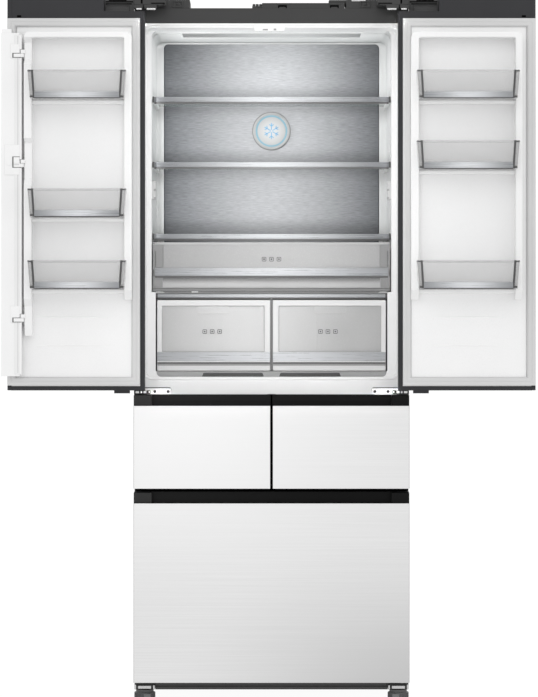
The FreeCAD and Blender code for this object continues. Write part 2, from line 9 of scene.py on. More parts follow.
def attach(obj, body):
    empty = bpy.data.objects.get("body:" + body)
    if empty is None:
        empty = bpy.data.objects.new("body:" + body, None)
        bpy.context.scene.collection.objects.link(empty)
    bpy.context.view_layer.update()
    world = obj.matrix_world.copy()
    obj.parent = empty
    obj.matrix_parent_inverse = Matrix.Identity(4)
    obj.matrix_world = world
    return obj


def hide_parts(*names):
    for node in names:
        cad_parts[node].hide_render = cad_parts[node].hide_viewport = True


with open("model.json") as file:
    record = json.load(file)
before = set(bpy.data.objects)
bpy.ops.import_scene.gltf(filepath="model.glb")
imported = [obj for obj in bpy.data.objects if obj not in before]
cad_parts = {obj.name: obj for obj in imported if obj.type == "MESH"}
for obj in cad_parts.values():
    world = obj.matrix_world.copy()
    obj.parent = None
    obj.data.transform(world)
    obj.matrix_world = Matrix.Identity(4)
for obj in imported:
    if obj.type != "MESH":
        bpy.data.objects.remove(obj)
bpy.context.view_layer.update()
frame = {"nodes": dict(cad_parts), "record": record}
scene = bpy.context.scene
nodes = frame["nodes"]

# Layout in millimetres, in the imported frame: the front faces minus Y and the floor is at Z 0
MM = 0.001
SIDE_OF = {"left": -1, "right": 1}
SIDES = tuple(SIDE_OF.values())
SHARP_ANGLE = math.radians(38)
CAP_X, CAP_Z = 0, 1578.2
SHELF_TOPS = (1652.1, 1471.8, 1273)
SHELF_BACK = 239.8
TRAY_FACE, TRAY_BACK = -94, 238
PANE_FACE = -91
WALL_HALF, WALL_LOW, CEILING = 331, 1113, 1833
COVER_TOP = 1911.6


# Mesh building in millimetres
def eased(corners, steps=5):
    """A closed outline of (x, y, radius) corners, each rounded by its own radius."""
    points = []
    count = len(corners)
    for i, (x, y, radius) in enumerate(corners):
        here = Vector((x, y))
        if radius <= 0:
            points.append(here)
            continue
        back = Vector(corners[i - 1][:2]) - here
        ahead = Vector(corners[(i + 1) % count][:2]) - here
        half = back.angle(ahead) / 2
        run = min(radius / math.tan(half), 0.49 * back.length, 0.49 * ahead.length)
        real = run * math.tan(half)
        back.normalize()
        ahead.normalize()
        centre = here + (back + ahead).normalized() * (real / math.sin(half))
        start = here + back * run - centre
        stop = here + ahead * run - centre
        turn = math.atan2(start.x * stop.y - start.y * stop.x, start.dot(stop))
        for k in range(steps + 1):
            a = turn * k / steps
            c, s = math.cos(a), math.sin(a)
            points.append(centre + Vector((start.x * c - start.y * s, start.x * s + start.y * c)))
    return points


def oblong(x0, x1, z0, z1, radius, steps=5):
    """A rounded rectangle as an outline."""
    return eased([(x0, z0, radius), (x1, z0, radius), (x1, z1, radius), (x0, z1, radius)], steps)


def spot(p, q, a, way):
    """A point p, q of an outline, at a along the axis named way."""
    if way == "x":
        return (a, p, q)
    if way == "y":
        return (p, a, q)
    return (p, q, a)


def at(outline, way, a):
    """An outline set at a along the axis named way."""
    return [spot(p, q, a, way) for p, q in outline]


def softened(bm, soft=0, steps=2):
    """Turns the faces outwards and rounds the sharp edges."""
    bmesh.ops.recalc_face_normals(bm, faces=bm.faces)
    if soft > 0:
        sharp = [e for e in bm.edges if len(e.link_faces) == 2 and e.calc_face_angle(0) > SHARP_ANGLE]
        bmesh.ops.bevel(bm, geom=sharp, offset=soft, segments=steps, profile=0.5, affect="EDGES",
                        clamp_overlap=True)
        bmesh.ops.dissolve_degenerate(bm, dist=0.001, edges=bm.edges)
    return bm


def loft(loops, ring=False, soft=0, steps=2):
    """A skin over loops of equal length, closed round as a ring or by end faces."""
    bm = bmesh.new()
    rows = [[bm.verts.new(p) for p in loop] for loop in loops]
    pairs = list(zip(rows, rows[1:]))
    if ring:
        pairs.append((rows[-1], rows[0]))
    else:
        bm.faces.new(rows[0])
        bm.faces.new(rows[-1])
    for a, b in pairs:
        for i in range(len(a)):
            j = (i + 1) % len(a)
            bm.faces.new((a[i], a[j], b[j], b[i]))
    return softened(bm, soft, steps)


def open_sweep(loops):
    """A closed section swept along an open path, with both ends capped."""
    bm = bmesh.new()
    rows = [[bm.verts.new(p) for p in loop] for loop in loops]
    for a, b in zip(rows, rows[1:] + rows[:1]):
        for i in range(len(a) - 1):
            bm.faces.new((a[i], a[i + 1], b[i + 1], b[i]))
    bm.faces.new([row[0] for row in rows])
    bm.faces.new([row[-1] for row in rows])
    return softened(bm)


def prism(outline, way, a0, a1, soft=0.8, steps=2):
    """An outline pushed along one axis, with its sharp edges rounded."""
    return loft([at(outline, way, a0), at(outline, way, a1)], soft=soft, steps=steps)


def block(x0, x1, y0, y1, z0, z1, soft=0.8, steps=2):
    """A block with rounded edges."""
    return prism([(x0, z0), (x1, z0), (x1, z1), (x0, z1)], "y", y0, y1, soft, steps)


def sided(side, a0, a1):
    """The span from a0 to a1 out from the middle, on one side, lowest first."""
    return sorted((side * a0, side * a1))


def side_block(side, a0, a1, *rest):
    """A block from a0 to a1 out from the middle, on one side."""
    return block(*sided(side, a0, a1), *rest)


def banded(rect, section, radius, steps=5):
    """A frame round a rectangle: section holds the (inset, y) points of its closed section."""
    x0, x1, z0, z1 = rect
    loops = []
    for inset, y in section:
        path = oblong(x0 + inset, x1 - inset, z0 + inset, z1 - inset, max(radius - inset, 0.6), steps)
        loops.append(at(path, "y", y))
    return loft(loops, ring=True)


def turned(profile, centre, way, count=48, ring=False):
    """A turned shape from (radius, height) points about an axis through centre, or a ring of that section."""
    bm = bmesh.new()
    rows = []
    for radius, height in profile:
        points = [(0, 0)]
        if radius > 0:
            angles = [2 * math.pi * k / count for k in range(count)]
            points = [(radius * math.cos(a), radius * math.sin(a)) for a in angles]
        rows.append([bm.verts.new(Vector(centre) + Vector(p)) for p in at(points, way, height)])
    for a, b in zip(rows, rows[1:] + rows[:1]) if ring else zip(rows, rows[1:]):
        for i in range(count):
            j = (i + 1) % count
            corners = (a[i % len(a)], a[j % len(a)], b[j % len(b)], b[i % len(b)])
            bm.faces.new(list(dict.fromkeys(corners)))
    for row in () if ring else (rows[0], rows[-1]):
        if len(row) > 1:
            bm.faces.new(row)
    return softened(bm)


# Pieces
def gathered(name, forms, finish, smooth=35):
    """Gathers forms into one mesh in metres, with edges sharper than an angle kept sharp."""
    whole = bmesh.new()
    for form in forms:
        part = bpy.data.meshes.new("part")
        form.to_mesh(part)
        form.free()
        whole.from_mesh(part)
        bpy.data.meshes.remove(part)
    bmesh.ops.scale(whole, vec=(MM, MM, MM), verts=whole.verts)
    mesh = bpy.data.meshes.new(name)
    whole.to_mesh(mesh)
    whole.free()
    mesh.materials.append(finish)
    mesh.shade_smooth()
    mesh.set_sharp_from_angle(angle=math.radians(smooth))
    return mesh


def linked(name, data):
    """A new object in the scene."""
    thing = bpy.data.objects.new(name, data)
    scene.collection.objects.link(thing)
    return thing


def settled(thing, modifier, body, stands_for, shift=None):
    """Keeps what a modifier makes as a plain mesh, and sets the piece on its body."""
    view = bpy.context.evaluated_depsgraph_get()
    mesh = bpy.data.meshes.new_from_object(thing.evaluated_get(view))
    thing.modifiers.remove(modifier)
    mesh.name = thing.name
    if shift:
        mesh.transform(Matrix.Translation(Vector(shift) * MM))
    thing.data = mesh
    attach(thing, body)
    if stands_for:
        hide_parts(stands_for)


def piece(name, forms, body, finish, stands_for=None, smooth=35):
    """One finished piece that rides on a body and may stand for a node."""
    thing = linked(name, gathered(name, forms, finish, smooth))
    even = thing.modifiers.new("even_shade", "WEIGHTED_NORMAL")
    even.keep_sharp = True
    settled(thing, even, body, stands_for)


# Node trees
def add_node(tree, kind, feeds, **settings):
    """A new node with its settings, and each input fed by a value or by another node's output."""
    node = tree.nodes.new(kind)
    for label, value in settings.items():
        setattr(node, label, value)
    for label, value in feeds.items():
        if isinstance(value, bpy.types.NodeSocket):
            tree.links.new(value, node.inputs[label])
        else:
            node.inputs[label].default_value = value
    return node


def new_tree(name, kind, inputs, outputs):
    """A node group, with inputs of (label, socket type, default) and outputs of (label, socket type)."""
    tree = bpy.data.node_groups.new(name, kind)
    for label, socket, value in inputs:
        made = tree.interface.new_socket(label, in_out="INPUT", socket_type="NodeSocket" + socket)
        if value is not None:
            made.default_value = value
    for label, socket in outputs:
        tree.interface.new_socket(label, in_out="OUTPUT", socket_type="NodeSocket" + socket)
    return tree, tree.nodes.new("NodeGroupInput").outputs, tree.nodes.new("NodeGroupOutput").inputs


def repeat_tree(name, inputs):
    """A geometry tree that repeats something, with its inputs and one result."""
    inputs = [(label, socket, None) for label, socket in inputs] + [("Finish", "Material", None)]
    return new_tree(name, "GeometryNodeTree", inputs, [("Result", "Geometry")])


def finished(tree, put, given, result):
    """Makes instances real, gives them their finish and sends them out."""
    real = add_node(tree, "GeometryNodeRealizeInstances", {"Geometry": put.outputs["Instances"]})
    feeds = {"Geometry": real.outputs["Geometry"], "Material": given["Finish"]}
    paint = add_node(tree, "GeometryNodeSetMaterial", feeds)
    tree.links.new(paint.outputs["Geometry"], result["Result"])
    return tree


def shape_tree():
    """Puts one shape on every point, turned by the point's own angle."""
    inputs = [("Points", "Geometry"), ("Shape", "Object"), ("Size", "Float")]
    tree, given, result = repeat_tree("shape_on_points", inputs)
    shape = add_node(tree, "GeometryNodeObjectInfo", {"Object": given["Shape"]})
    angle = add_node(tree, "GeometryNodeInputNamedAttribute", {"Name": "turn"}, data_type="FLOAT_VECTOR")
    turn = add_node(tree, "FunctionNodeEulerToRotation", {"Euler": angle.outputs["Attribute"]})
    put = add_node(tree, "GeometryNodeInstanceOnPoints", {
        "Points": given["Points"], "Instance": shape.outputs["Geometry"],
        "Rotation": turn.outputs["Rotation"], "Scale": given["Size"]})
    return finished(tree, put, given, result)


def rib_tree():
    """Sets blocks round a circle, for knurled rims."""
    inputs = [("Count", "Int"), ("Radius", "Float"), ("Rib", "Vector")]
    tree, given, result = repeat_tree("ribs_round_rim", inputs)
    rim = add_node(tree, "GeometryNodeMeshCircle", {"Vertices": given["Count"], "Radius": given["Radius"]})
    rib = add_node(tree, "GeometryNodeMeshCube", {"Size": given["Rib"]})
    place = add_node(tree, "GeometryNodeInputPosition", {})
    feeds = {"Vector": place.outputs["Position"]}
    face = add_node(tree, "FunctionNodeAlignRotationToVector", feeds, axis="X")
    put = add_node(tree, "GeometryNodeInstanceOnPoints", {
        "Points": rim.outputs["Mesh"], "Instance": rib.outputs["Mesh"], "Rotation": face.outputs["Rotation"]})
    return finished(tree, put, given, result)


SHAPE_TREE = shape_tree()
RIB_TREE = rib_tree()


def repeat(name, carrier, tree, body, slot, stands_for=None, shift=None, **values):
    """Runs a repeat tree on a carrier mesh, with the tree's inputs given by name."""
    thing = linked(name, carrier)
    live = thing.modifiers.new("repeat", "NODES")
    live.node_group = tree
    for socket in tree.interface.items_tree:
        if socket.in_out == "INPUT" and socket.name in values:
            live[socket.identifier] = values[socket.name]
    settled(thing, live, body, stands_for, shift)


def repeated(name, forms, spots, finish, body, slot, stands_for=None):
    """One shape on many spots, each (x, y, z, turn x, turn y, turn z) in millimetres and degrees."""
    template = linked(name + "_shape", gathered(name + "_shape", forms, finish))
    carrier = bpy.data.meshes.new(name + "_spots")
    carrier.from_pydata([[v * MM for v in s[:3]] for s in spots], [], [])
    turn = carrier.attributes.new("turn", "FLOAT_VECTOR", "POINT")
    for i, s in enumerate(spots):
        turn.data[i].vector = [math.radians(v) for v in s[3:]]
    repeat(name, carrier, SHAPE_TREE, body, slot, stands_for, Shape=template, Size=1.0, Finish=finish)
    bpy.data.objects.remove(template)


# Shader groups
def shader_group(name, inputs, outputs):
    """A shader group with inputs given by their defaults, a number or a vector, and number outputs."""
    kinds = {float: "Float", tuple: "Vector"}
    given = [(label, kinds[type(value)], value) for label, value in inputs.items()]
    tree, start, stop = new_tree(name, "ShaderNodeTree", given, [(label, "Float") for label in outputs])
    return tree, start, stop, tree.nodes.new("ShaderNodeTexCoord").outputs["Object"]


def grain_group():
    """Fine moulded grain and a slow drift of tone over the piece."""
    inputs = {"Scale": 700.0, "Drift": 4.0}
    tree, given, result, place = shader_group("moulded_grain", inputs, ["Height", "Tone"])
    for label, detail, out in (("Scale", 2.0, "Height"), ("Drift", 3.0, "Tone")):
        feeds = {"Vector": place, "Scale": given[label], "Detail": detail}
        noise = add_node(tree, "ShaderNodeTexNoise", feeds)
        tree.links.new(noise.outputs["Fac"], result[out])
    return tree


def brush_group():
    """Long fine lines, stretched by a scale for each axis, over wider soft bands."""
    inputs = {"Stretch": (4.0, 300.0, 300.0)}
    tree, given, result, place = shader_group("brushed_lines", inputs, ["Line", "Band"])
    scale = add_node(tree, "ShaderNodeVectorMath", {0: place, 1: given["Stretch"]}, operation="MULTIPLY")
    for size, detail, out in ((1.0, 4.0, "Line"), (0.14, 2.0, "Band")):
        noise = add_node(tree, "ShaderNodeTexNoise", {
            "Vector": scale.outputs["Vector"], "Scale": size, "Detail": detail, "Roughness": 0.6})
        tree.links.new(noise.outputs["Fac"], result[out])
    return tree


def spread_group():
    """One at a centre, falling smoothly to nothing at a reach given for each axis."""
    inputs = {"Centre": (0.0, 0.0, 0.0), "Reach": (1.0, 1.0, 1.0)}
    tree, given, result, place = shader_group("soft_spread", inputs, ["Spread"])
    away = add_node(tree, "ShaderNodeVectorMath", {0: place, 1: given["Centre"]}, operation="SUBTRACT")
    feeds = {0: away.outputs["Vector"], 1: given["Reach"]}
    share = add_node(tree, "ShaderNodeVectorMath", feeds, operation="DIVIDE")
    far = add_node(tree, "ShaderNodeVectorMath", {0: share.outputs["Vector"]}, operation="LENGTH")
    feeds = {"Value": far.outputs["Value"], "To Min": 1.0, "To Max": 0.0}
    fall = add_node(tree, "ShaderNodeMapRange", feeds, interpolation_type="SMOOTHSTEP")
    tree.links.new(fall.outputs["Result"], result["Spread"])
    return tree


def dust_group():
    """Dust that settles on faces that look up, in loose patches."""
    tree, given, result, place = shader_group("settled_dust", {"Amount": 0.3}, ["Dust"])
    noise = add_node(tree, "ShaderNodeTexNoise", {"Vector": place, "Scale": 22.0, "Detail": 6.0})
    shape = add_node(tree, "ShaderNodeNewGeometry", {})
    parts = add_node(tree, "ShaderNodeSeparateXYZ", {"Vector": shape.outputs["Normal"]})
    feeds = {"Value": parts.outputs["Z"], "From Min": 0.35, "From Max": 0.95}
    up = add_node(tree, "ShaderNodeMapRange", feeds)
    feeds = {0: up.outputs["Result"], 1: noise.outputs["Fac"]}
    both = add_node(tree, "ShaderNodeMath", feeds, operation="MULTIPLY")
    feeds = {0: both.outputs["Value"], 1: given["Amount"]}
    much = add_node(tree, "ShaderNodeMath", feeds, operation="MULTIPLY")
    tree.links.new(much.outputs["Value"], result["Dust"])
    return tree


GRAIN = grain_group()
BRUSH = brush_group()
SPREAD = spread_group()
DUST = dust_group()
NOISE_LOW, NOISE_HIGH = 0.3, 0.7
BUMP_DEPTH, LINE_DEPTH = 0.0002, 0.00015
BLACK = (0.0, 0.0, 0.0, 1.0)
DUST_GREY = 150
SHADE_REACH = 0.055


def colour(level):
    """A grey level, or red, green and blue levels, of 0 to 255 as linear light."""
    linear = []
    for one in level if isinstance(level, tuple) else (level,) * 3:
        v = one / 255
        linear.append(v / 12.92 if v <= 0.04045 else ((v + 0.055) / 1.055) ** 2.4)
    return (*linear, 1.0)


def cool(level):
    """A grey level with a little blue, as bare steel has."""
    return (level - 1, level + 1, level + 4)


class Finish:
    """A material being wired: its shader keeps fixed values, groups feed what varies."""

    def __init__(self, name, **fixed):
        self.material = bpy.data.materials.new(name)
        self.material.use_nodes = True
        self.tree = self.material.node_tree
        self.shader = next(n for n in self.tree.nodes if n.type == "BSDF_PRINCIPLED")
        for label, value in fixed.items():
            self.shader.inputs[label.replace("_", " ")].default_value = value

    def feed(self, label, value):
        """Wires a value to one of the shader's inputs."""
        self.tree.links.new(value, self.shader.inputs[label])

    def group(self, tree, **values):
        """The outputs of a shader group."""
        return add_node(self.tree, "ShaderNodeGroup", values, node_tree=tree).outputs

    def near(self, centre, reach):
        """One at a centre, falling to nothing at a reach, in metres."""
        return self.group(SPREAD, Centre=centre, Reach=reach)["Spread"]

    def mix(self, share, a, b):
        """A colour from a to b, by share."""
        return add_node(self.tree, "ShaderNodeMix", {0: share, 6: a, 7: b}, data_type="RGBA").outputs[2]

    def ranged(self, value, low=0.0, high=1.0, first=NOISE_LOW, last=NOISE_HIGH):
        """A value from first to last, brought to low to high: by default noise, brought to 0 to 1."""
        feeds = {"Value": value, "From Min": first, "From Max": last, "To Min": low, "To Max": high}
        return add_node(self.tree, "ShaderNodeMapRange", feeds).outputs["Result"]

    def combine(self, how, a, b):
        """Two values brought together by the operation named how."""
        return add_node(self.tree, "ShaderNodeMath", {0: a, 1: b}, operation=how).outputs["Value"]

    def blend(self, lines, share):
        """Brush lines and their wider bands, with share of the lines."""
        fine = self.combine("MULTIPLY", lines["Line"], share)
        wide = self.combine("MULTIPLY", lines["Band"], 1 - share)
        return self.combine("ADD", fine, wide)

    def dimmed(self, tone, places):
        """A tone made darker near each (centre, reach, strength), as painted shade."""
        for centre, reach, strength in places:
            tone = self.mix(self.combine("MULTIPLY", self.near(centre, reach), strength), tone, BLACK)
        return tone

    def done(self, tone, rough, height, strength, depth=BUMP_DEPTH):
        """Feeds colour, roughness and bump to the shader, and gives the material."""
        self.feed("Base Color", tone)
        self.feed("Roughness", rough)
        feeds = {"Strength": strength, "Distance": depth, "Height": height}
        self.feed("Normal", add_node(self.tree, "ShaderNodeBump", feeds).outputs["Normal"])
        return self.material


def shelf_dims(lift, strength):
    """Dim places close to each shelf, where the shelf keeps light off a wall."""
    return [((0.0, 0.0, (top + lift) * MM), (9.0, 9.0, SHADE_REACH), strength) for top in SHELF_TOPS]


def moulded(name, light, dark, rough, scale=700.0, bump=0.06, dust=0.0, dim=(), **fixed):
    """Moulded plastic or paint: fine grain and a slow tone drift, with dust, and painted shade at dim places,
    where asked for.
    """
    made = Finish(name, **fixed)
    grain = made.group(GRAIN, Scale=scale, Drift=4.0)
    tone = made.mix(made.ranged(grain["Tone"]), colour(dark), colour(light))
    if dust > 0:
        tone = made.mix(made.group(DUST, Amount=dust)["Dust"], tone, colour(DUST_GREY))
    gloss = made.ranged(grain["Height"], rough - 0.05, rough + 0.05)
    return made.done(made.dimmed(tone, dim), gloss, grain["Height"], bump)


def brushed(name, dark, light, stretch, rough, sheen=None, contrast=0.5, **fixed):
    """Brushed sheet with lines along one axis and, where asked for, a painted sheen that lightens the middle.
    """
    made = Finish(name, **fixed)
    lines = made.group(BRUSH, Stretch=stretch)
    half = 0.25 / contrast
    share = made.ranged(made.blend(lines, 0.6), first=0.5 - half, last=0.5 + half)
    tone = made.mix(share, colour(dark), colour(light))
    if sheen:
        centre, reach, bright = sheen
        lit = made.mix(share, colour(bright[0]), colour(bright[1]))
        tone = made.mix(made.near(centre, reach), tone, lit)
    gloss = made.ranged(lines["Line"], rough - 0.06, rough + 0.06)
    return made.done(tone, gloss, lines["Line"], 0.05, LINE_DEPTH)


def clear(name, tone, dark, alpha, rough=0.25, middle=None, centre=0.0):
    """Clear or frosted plastic and glass with a fine grain, with a painted highlight that lightens the middle
    where asked for.
    """
    made = Finish(name, Alpha=alpha)
    grain = made.group(GRAIN, Scale=420.0, Drift=7.0)
    film = made.mix(made.ranged(grain["Tone"]), colour(dark), colour(tone))
    if middle:
        film = made.mix(made.near((centre, -0.09, 1.1), (0.34, 2.0, 3.0)), film, colour(middle))
    gloss = made.ranged(grain["Height"], rough - 0.03, rough + 0.04)
    return made.done(film, gloss, grain["Height"], 0.02)


def front_white():
    """White brushed front: fine level lines, with a painted highlight at the upper left and painted shade at
    the lower right.
    """
    made = Finish("front_brushed_white", Metallic=0.0)
    lines = made.group(BRUSH, Stretch=(3.0, 420.0, 420.0))
    tone = made.mix(made.ranged(lines["Line"]), colour(228), colour(235))
    tone = made.mix(made.near((-0.28, -0.258, 0.78), (0.8, 2.0, 0.62)), tone, colour(253))
    tone = made.mix(made.near((0.42, -0.258, -0.02), (0.75, 2.0, 0.5)), tone, colour(198))
    return made.done(tone, made.ranged(lines["Band"], 0.3, 0.42), lines["Line"], 0.06, LINE_DEPTH)


def air_panel_steel():
    """Brushed steel of the back panel: a painted reflection, bright in the middle and dark at both sides, and
    painted shade near the shelves.
    """
    made = Finish("air_panel_steel", Metallic=0.35)
    lines = made.group(BRUSH, Stretch=(46.0, 460.0, 460.0))
    share = made.ranged(made.blend(lines, 0.86))
    tone = made.mix(share, colour((86, 88, 91)), colour((120, 122, 126)))
    lit = made.mix(share, colour((182, 183, 186)), colour((217, 218, 221)))
    tone = made.mix(made.near((0.012, 0.25, 1.46), (0.33, 2.0, 3.0)), tone, lit)
    tone = made.dimmed(tone, shelf_dims(12, 0.42))
    return made.done(tone, made.ranged(lines["Line"], 0.3, 0.42), lines["Line"], 0.06, LINE_DEPTH)


def grip_black():
    """Black painted channel, with a painted highlight that turns it greyer towards its left end."""
    made = Finish("grip_black_paint", Specular_IOR_Level=0.15)
    grain = made.group(GRAIN, Scale=900.0, Drift=5.0)
    tone = made.mix(made.ranged(grain["Tone"]), colour(7), colour(11))
    tone = made.mix(made.near((-0.42, -0.23, 0.7), (0.62, 2.0, 2.0)), tone, colour(32))
    return made.done(tone, made.ranged(grain["Height"], 0.4, 0.5), grain["Height"], 0.04)


def falling_shade():
    """A painted shadow below the fresh drawer's strip: a film that is dark along its top edge and fades out
    downwards.
    """
    made = Finish("fresh_shade_film", Roughness=0.45, Specular_IOR_Level=0.1)
    grain = made.group(GRAIN, Scale=700.0, Drift=4.0)
    made.feed("Base Color", made.mix(made.ranged(grain["Tone"]), colour(56), colour(64)))
    near = made.near((0.0, -0.096, 1.1495), (9.0, 9.0, 0.0155))
    made.feed("Alpha", made.combine("MULTIPLY", near, 0.17))
    return made.material


strips_made = {}
NAME_SHIFT = 1000


def strip_finish(middle, half, ends=(156, 168)):
    """Brushed metal strip with a painted highlight: dark at its ends and bright in the middle, made once for
    each place.
    """
    key = (round(middle) + NAME_SHIFT, round(half), ends[0])
    if key not in strips_made:
        name = "strip_steel_%d_%d_%d" % key
        painted_highlight = ((middle * MM, -0.2, 1.3), (half * 1.1 * MM, 3.0, 4.0), (cool(216), cool(229)))
        lines = (9.0, 360.0, 360.0)
        strips_made[key] = brushed(name, *map(cool, ends), lines, 0.3, painted_highlight, 0.9, Metallic=0.3)
    return strips_made[key]


# Finishes
WHITE_LINER = moulded("white_liner_gloss", 249, 244, 0.32, bump=0.03)
DOOR_LINER = moulded("door_liner_gloss", 250, 246, 0.3, bump=0.03)
INNER_WALL = moulded("inner_wall_satin", 238, 233, 0.4, bump=0.03)
# Painted shade: the wall is darker close to each shelf and at the left of the ceiling
SHADED_WALL = moulded("shaded_wall_satin", 246, 242, 0.4, bump=0.03,
                      dim=shelf_dims(-6, 0.34) + [((-0.25, 0.12, 1.835), (0.30, 0.4, 0.011), 0.22)])
# Painted shade: the cove is a darker copy of the wall, darker still close to each shelf and along the ceiling
COVE_WALL = moulded("cove_satin", 236, 232, 0.4, bump=0.03,
                    dim=shelf_dims(-6, 0.34) + [((0.0, 0.25, 1.831), (2.0, 2.0, 0.014), 0.14)])
WHITE_SHELL = moulded("white_shell_paint", 236, 230, 0.38, scale=1600.0, bump=0.04)
WHITE_METAL = moulded("white_frame_paint", 246, 240, 0.35, scale=1600.0, bump=0.04)
ZINC = brushed("zinc_sheet", 150, 172, (60.0, 60.0, 60.0), 0.42, contrast=0.7, Metallic=0.8)
FOAM = moulded("yellow_foam", (232, 222, 186), (214, 202, 160), 0.9, scale=260.0, bump=0.5)
DARK_CAP = moulded("dark_cap_plastic", (46, 46, 49), (40, 40, 43), 0.55, scale=900.0, dust=0.12,
                   Specular_IOR_Level=0.4)
BAND_DARK = moulded("top_band_plastic", 51, 47, 0.5, scale=900.0)
RAIL_DARK = moulded("base_rail_plastic", 82, 76, 0.5, scale=900.0)
# Painted light: a lighter copy of the dark cap plastic, against the shade inside the hinge pocket
POCKET_DARK = moulded("pocket_plastic", 74, 68, 0.5, scale=900.0)
BLACK_PART = moulded("black_part_plastic", 22, 15, 0.5)
# Near-black for strips set in gaps: painted shade in the gaps
GAP_BLACK = moulded("gap_black_rubber", 4, 2, 0.8, Specular_IOR_Level=0.02)
COVER_DARK = moulded("cover_dark_plastic", 52, 45, 0.5, dust=0.25)
HINGE_WHITE = moulded("hinge_paint", 254, 251, 0.35, scale=1600.0)
SCREW = brushed("screw_dark_steel", 58, 84, (700.0, 700.0, 700.0), 0.35, Metallic=0.9)
# The lens has a painted highlight, lighter towards its middle and a little to the right
LENS = brushed("lamp_lens_grey", 136, 146, (4.0, 500.0, 500.0), 0.3,
               sheen=((0.05, 0.03, 1.83), (0.27, 0.4, 0.4), (206, 216)))
GASKET = moulded("gasket_vinyl", 216, 209, 0.6, bump=0.05)
BOX_PLASTIC = moulded("drawer_box_plastic", (236, 239, 240), (229, 233, 235), 0.4)
RUNNER = brushed("runner_steel", 168, 190, (500.0, 6.0, 500.0), 0.34, Metallic=0.9)
BLACK_METAL = moulded("black_pot_paint", 40, 30, 0.45, dust=0.3)
COIL = brushed("coil_aluminium", 186, 206, (8.0, 400.0, 400.0), 0.35, Metallic=0.9)
FOOT_DARK = moulded("foot_plastic", 94, 84, 0.55)
# The cap has a painted highlight, lighter at its middle
SILVER_CAP = brushed("silver_cap_satin", 174, 180, (9.0, 70.0, 70.0), 0.34, contrast=0.3, Metallic=0.2,
                     sheen=((0.0, 0.245, 1.578), (0.064, 1.0, 0.064), (215, 220)))
BUTTON_GREY = moulded("cover_button_satin", 210, 200, 0.3, scale=1200.0)
CAP_RING = moulded("cap_ring_blue", (145, 182, 197), (137, 175, 191), 0.35)
FLAKE_BLUE = moulded("cap_flake_blue", (108, 178, 218), (99, 170, 212), 0.35)
CLIP_GREY = moulded("wall_clip_grey", 208, 201, 0.4)
CLIP_STEEL = brushed("clip_bright_steel", 205, 226, (500.0, 500.0, 20.0), 0.25, Metallic=0.7)
SMOKE = moulded("smoked_strip_plastic", 116, 102, 0.3)
POST_DARK = moulded("smoked_post_plastic", 84, 70, 0.3)
SKIRT = moulded("floor_skirt_grey", 172, 160, 0.5)
# Painted shade: a grey for the shaded foot of the fresh drawer and the crisper shelf's lip
FRESH_FOOT = moulded("shaded_lip_grey", 150, 140, 0.5)
DIVIDER = moulded("divider_grey", 146, 136, 0.5)
CRISPER_LIP = moulded("crisper_lip_white", 226, 220, 0.45)
LEAF_GREY = moulded("flap_leaf_grey", 243, 238, 0.4)
GROOVE_GREY = moulded("leaf_groove_grey", 222, 214, 0.4)
LIP_GREY = moulded("base_lip_plastic", 88, 80, 0.5)
MARK = moulded("printed_mark", 84, 76, 0.5)
GRIP_END = moulded("grip_end_plastic", 46, 42, 0.5, Specular_IOR_Level=0.25)
# The strip under each shelf has a painted highlight, lighter in the middle and darker towards its ends
UNDER_GREY = brushed("shelf_under_grey", 84, 94, (6.0, 500.0, 500.0), 0.45,
                     sheen=((0.0, -0.08, 1.46), (0.34, 0.6, 0.6), (138, 148)))
EDGE_STEEL = brushed("front_edge_steel", 172, 190, (400.0, 400.0, 8.0), 0.35, contrast=0.8, Metallic=0.3)
STRIP = brushed("handle_strip_steel", 150, 166, (6.0, 420.0, 420.0), 0.3, contrast=0.8, Metallic=0.55)
BIN_CLEAR = clear("bin_frosted", 238, 230, 0.28)
# The tray, fresh drawer and window plastics have a painted highlight towards a middle given for each
TRAY_CLEAR = clear("tray_frosted", 203, 195, 0.55, middle=212)
FRESH_CLEAR = clear("fresh_frosted", 209, 201, 0.55, middle=221, centre=0.05)
PANE_CLEAR = clear("window_frosted", 219, 211, 0.6, middle=251, centre=-0.065)
LIP_CLEAR = clear("lip_frosted", 228, 220, 0.56)
END_CLEAR = clear("end_box_smoked", 128, 118, 0.75)
BIN_FILM = clear("bin_film_smoked", 178, 170, 0.5, 0.3)
BRIM_FILM = clear("bin_brim_frosted", 214, 207, 0.4, 0.3)
END_FILM = clear("end_film_smoked", 178, 170, 0.62, 0.3)
SHELF_GLASS = clear("shelf_glass", (104, 118, 113), (96, 110, 106), 0.3, 0.05)
FRONT_WHITE = front_white()
AIR_STEEL = air_panel_steel()
GRIP_BLACK = grip_black()
FALLING_SHADE = falling_shade()

SLOT_FINISH = {
    "white_shell": WHITE_SHELL, "zinc_steel": ZINC, "foam": FOAM, "white_liner": WHITE_LINER,
    "white_metal": WHITE_METAL, "dark_plastic": DARK_CAP, "hinge_steel": HINGE_WHITE, "screw_steel": SCREW,
    "brushed_panel": AIR_STEEL, "silver_cap": SILVER_CAP, "lamp_lens": LENS, "shelf_glass": SHELF_GLASS,
    "clear_plastic": TRAY_CLEAR, "handle_metal": STRIP, "front_white": FRONT_WHITE,
    "box_plastic": BOX_PLASTIC, "runner_steel": RUNNER, "gasket": GASKET, "black_metal": BLACK_METAL,
    "coil_aluminium": COIL, "foot_plastic": FOOT_DARK,
}
NODE_FINISH = {"base_rail": RAIL_DARK, "top_hinges": BLACK_PART}
for part in frame["record"]["subparts"]:
    skin = nodes[part["node"]].data
    skin.materials.clear()
    skin.materials.append(NODE_FINISH.get(part["node"], SLOT_FINISH[part["material_slot"]]))


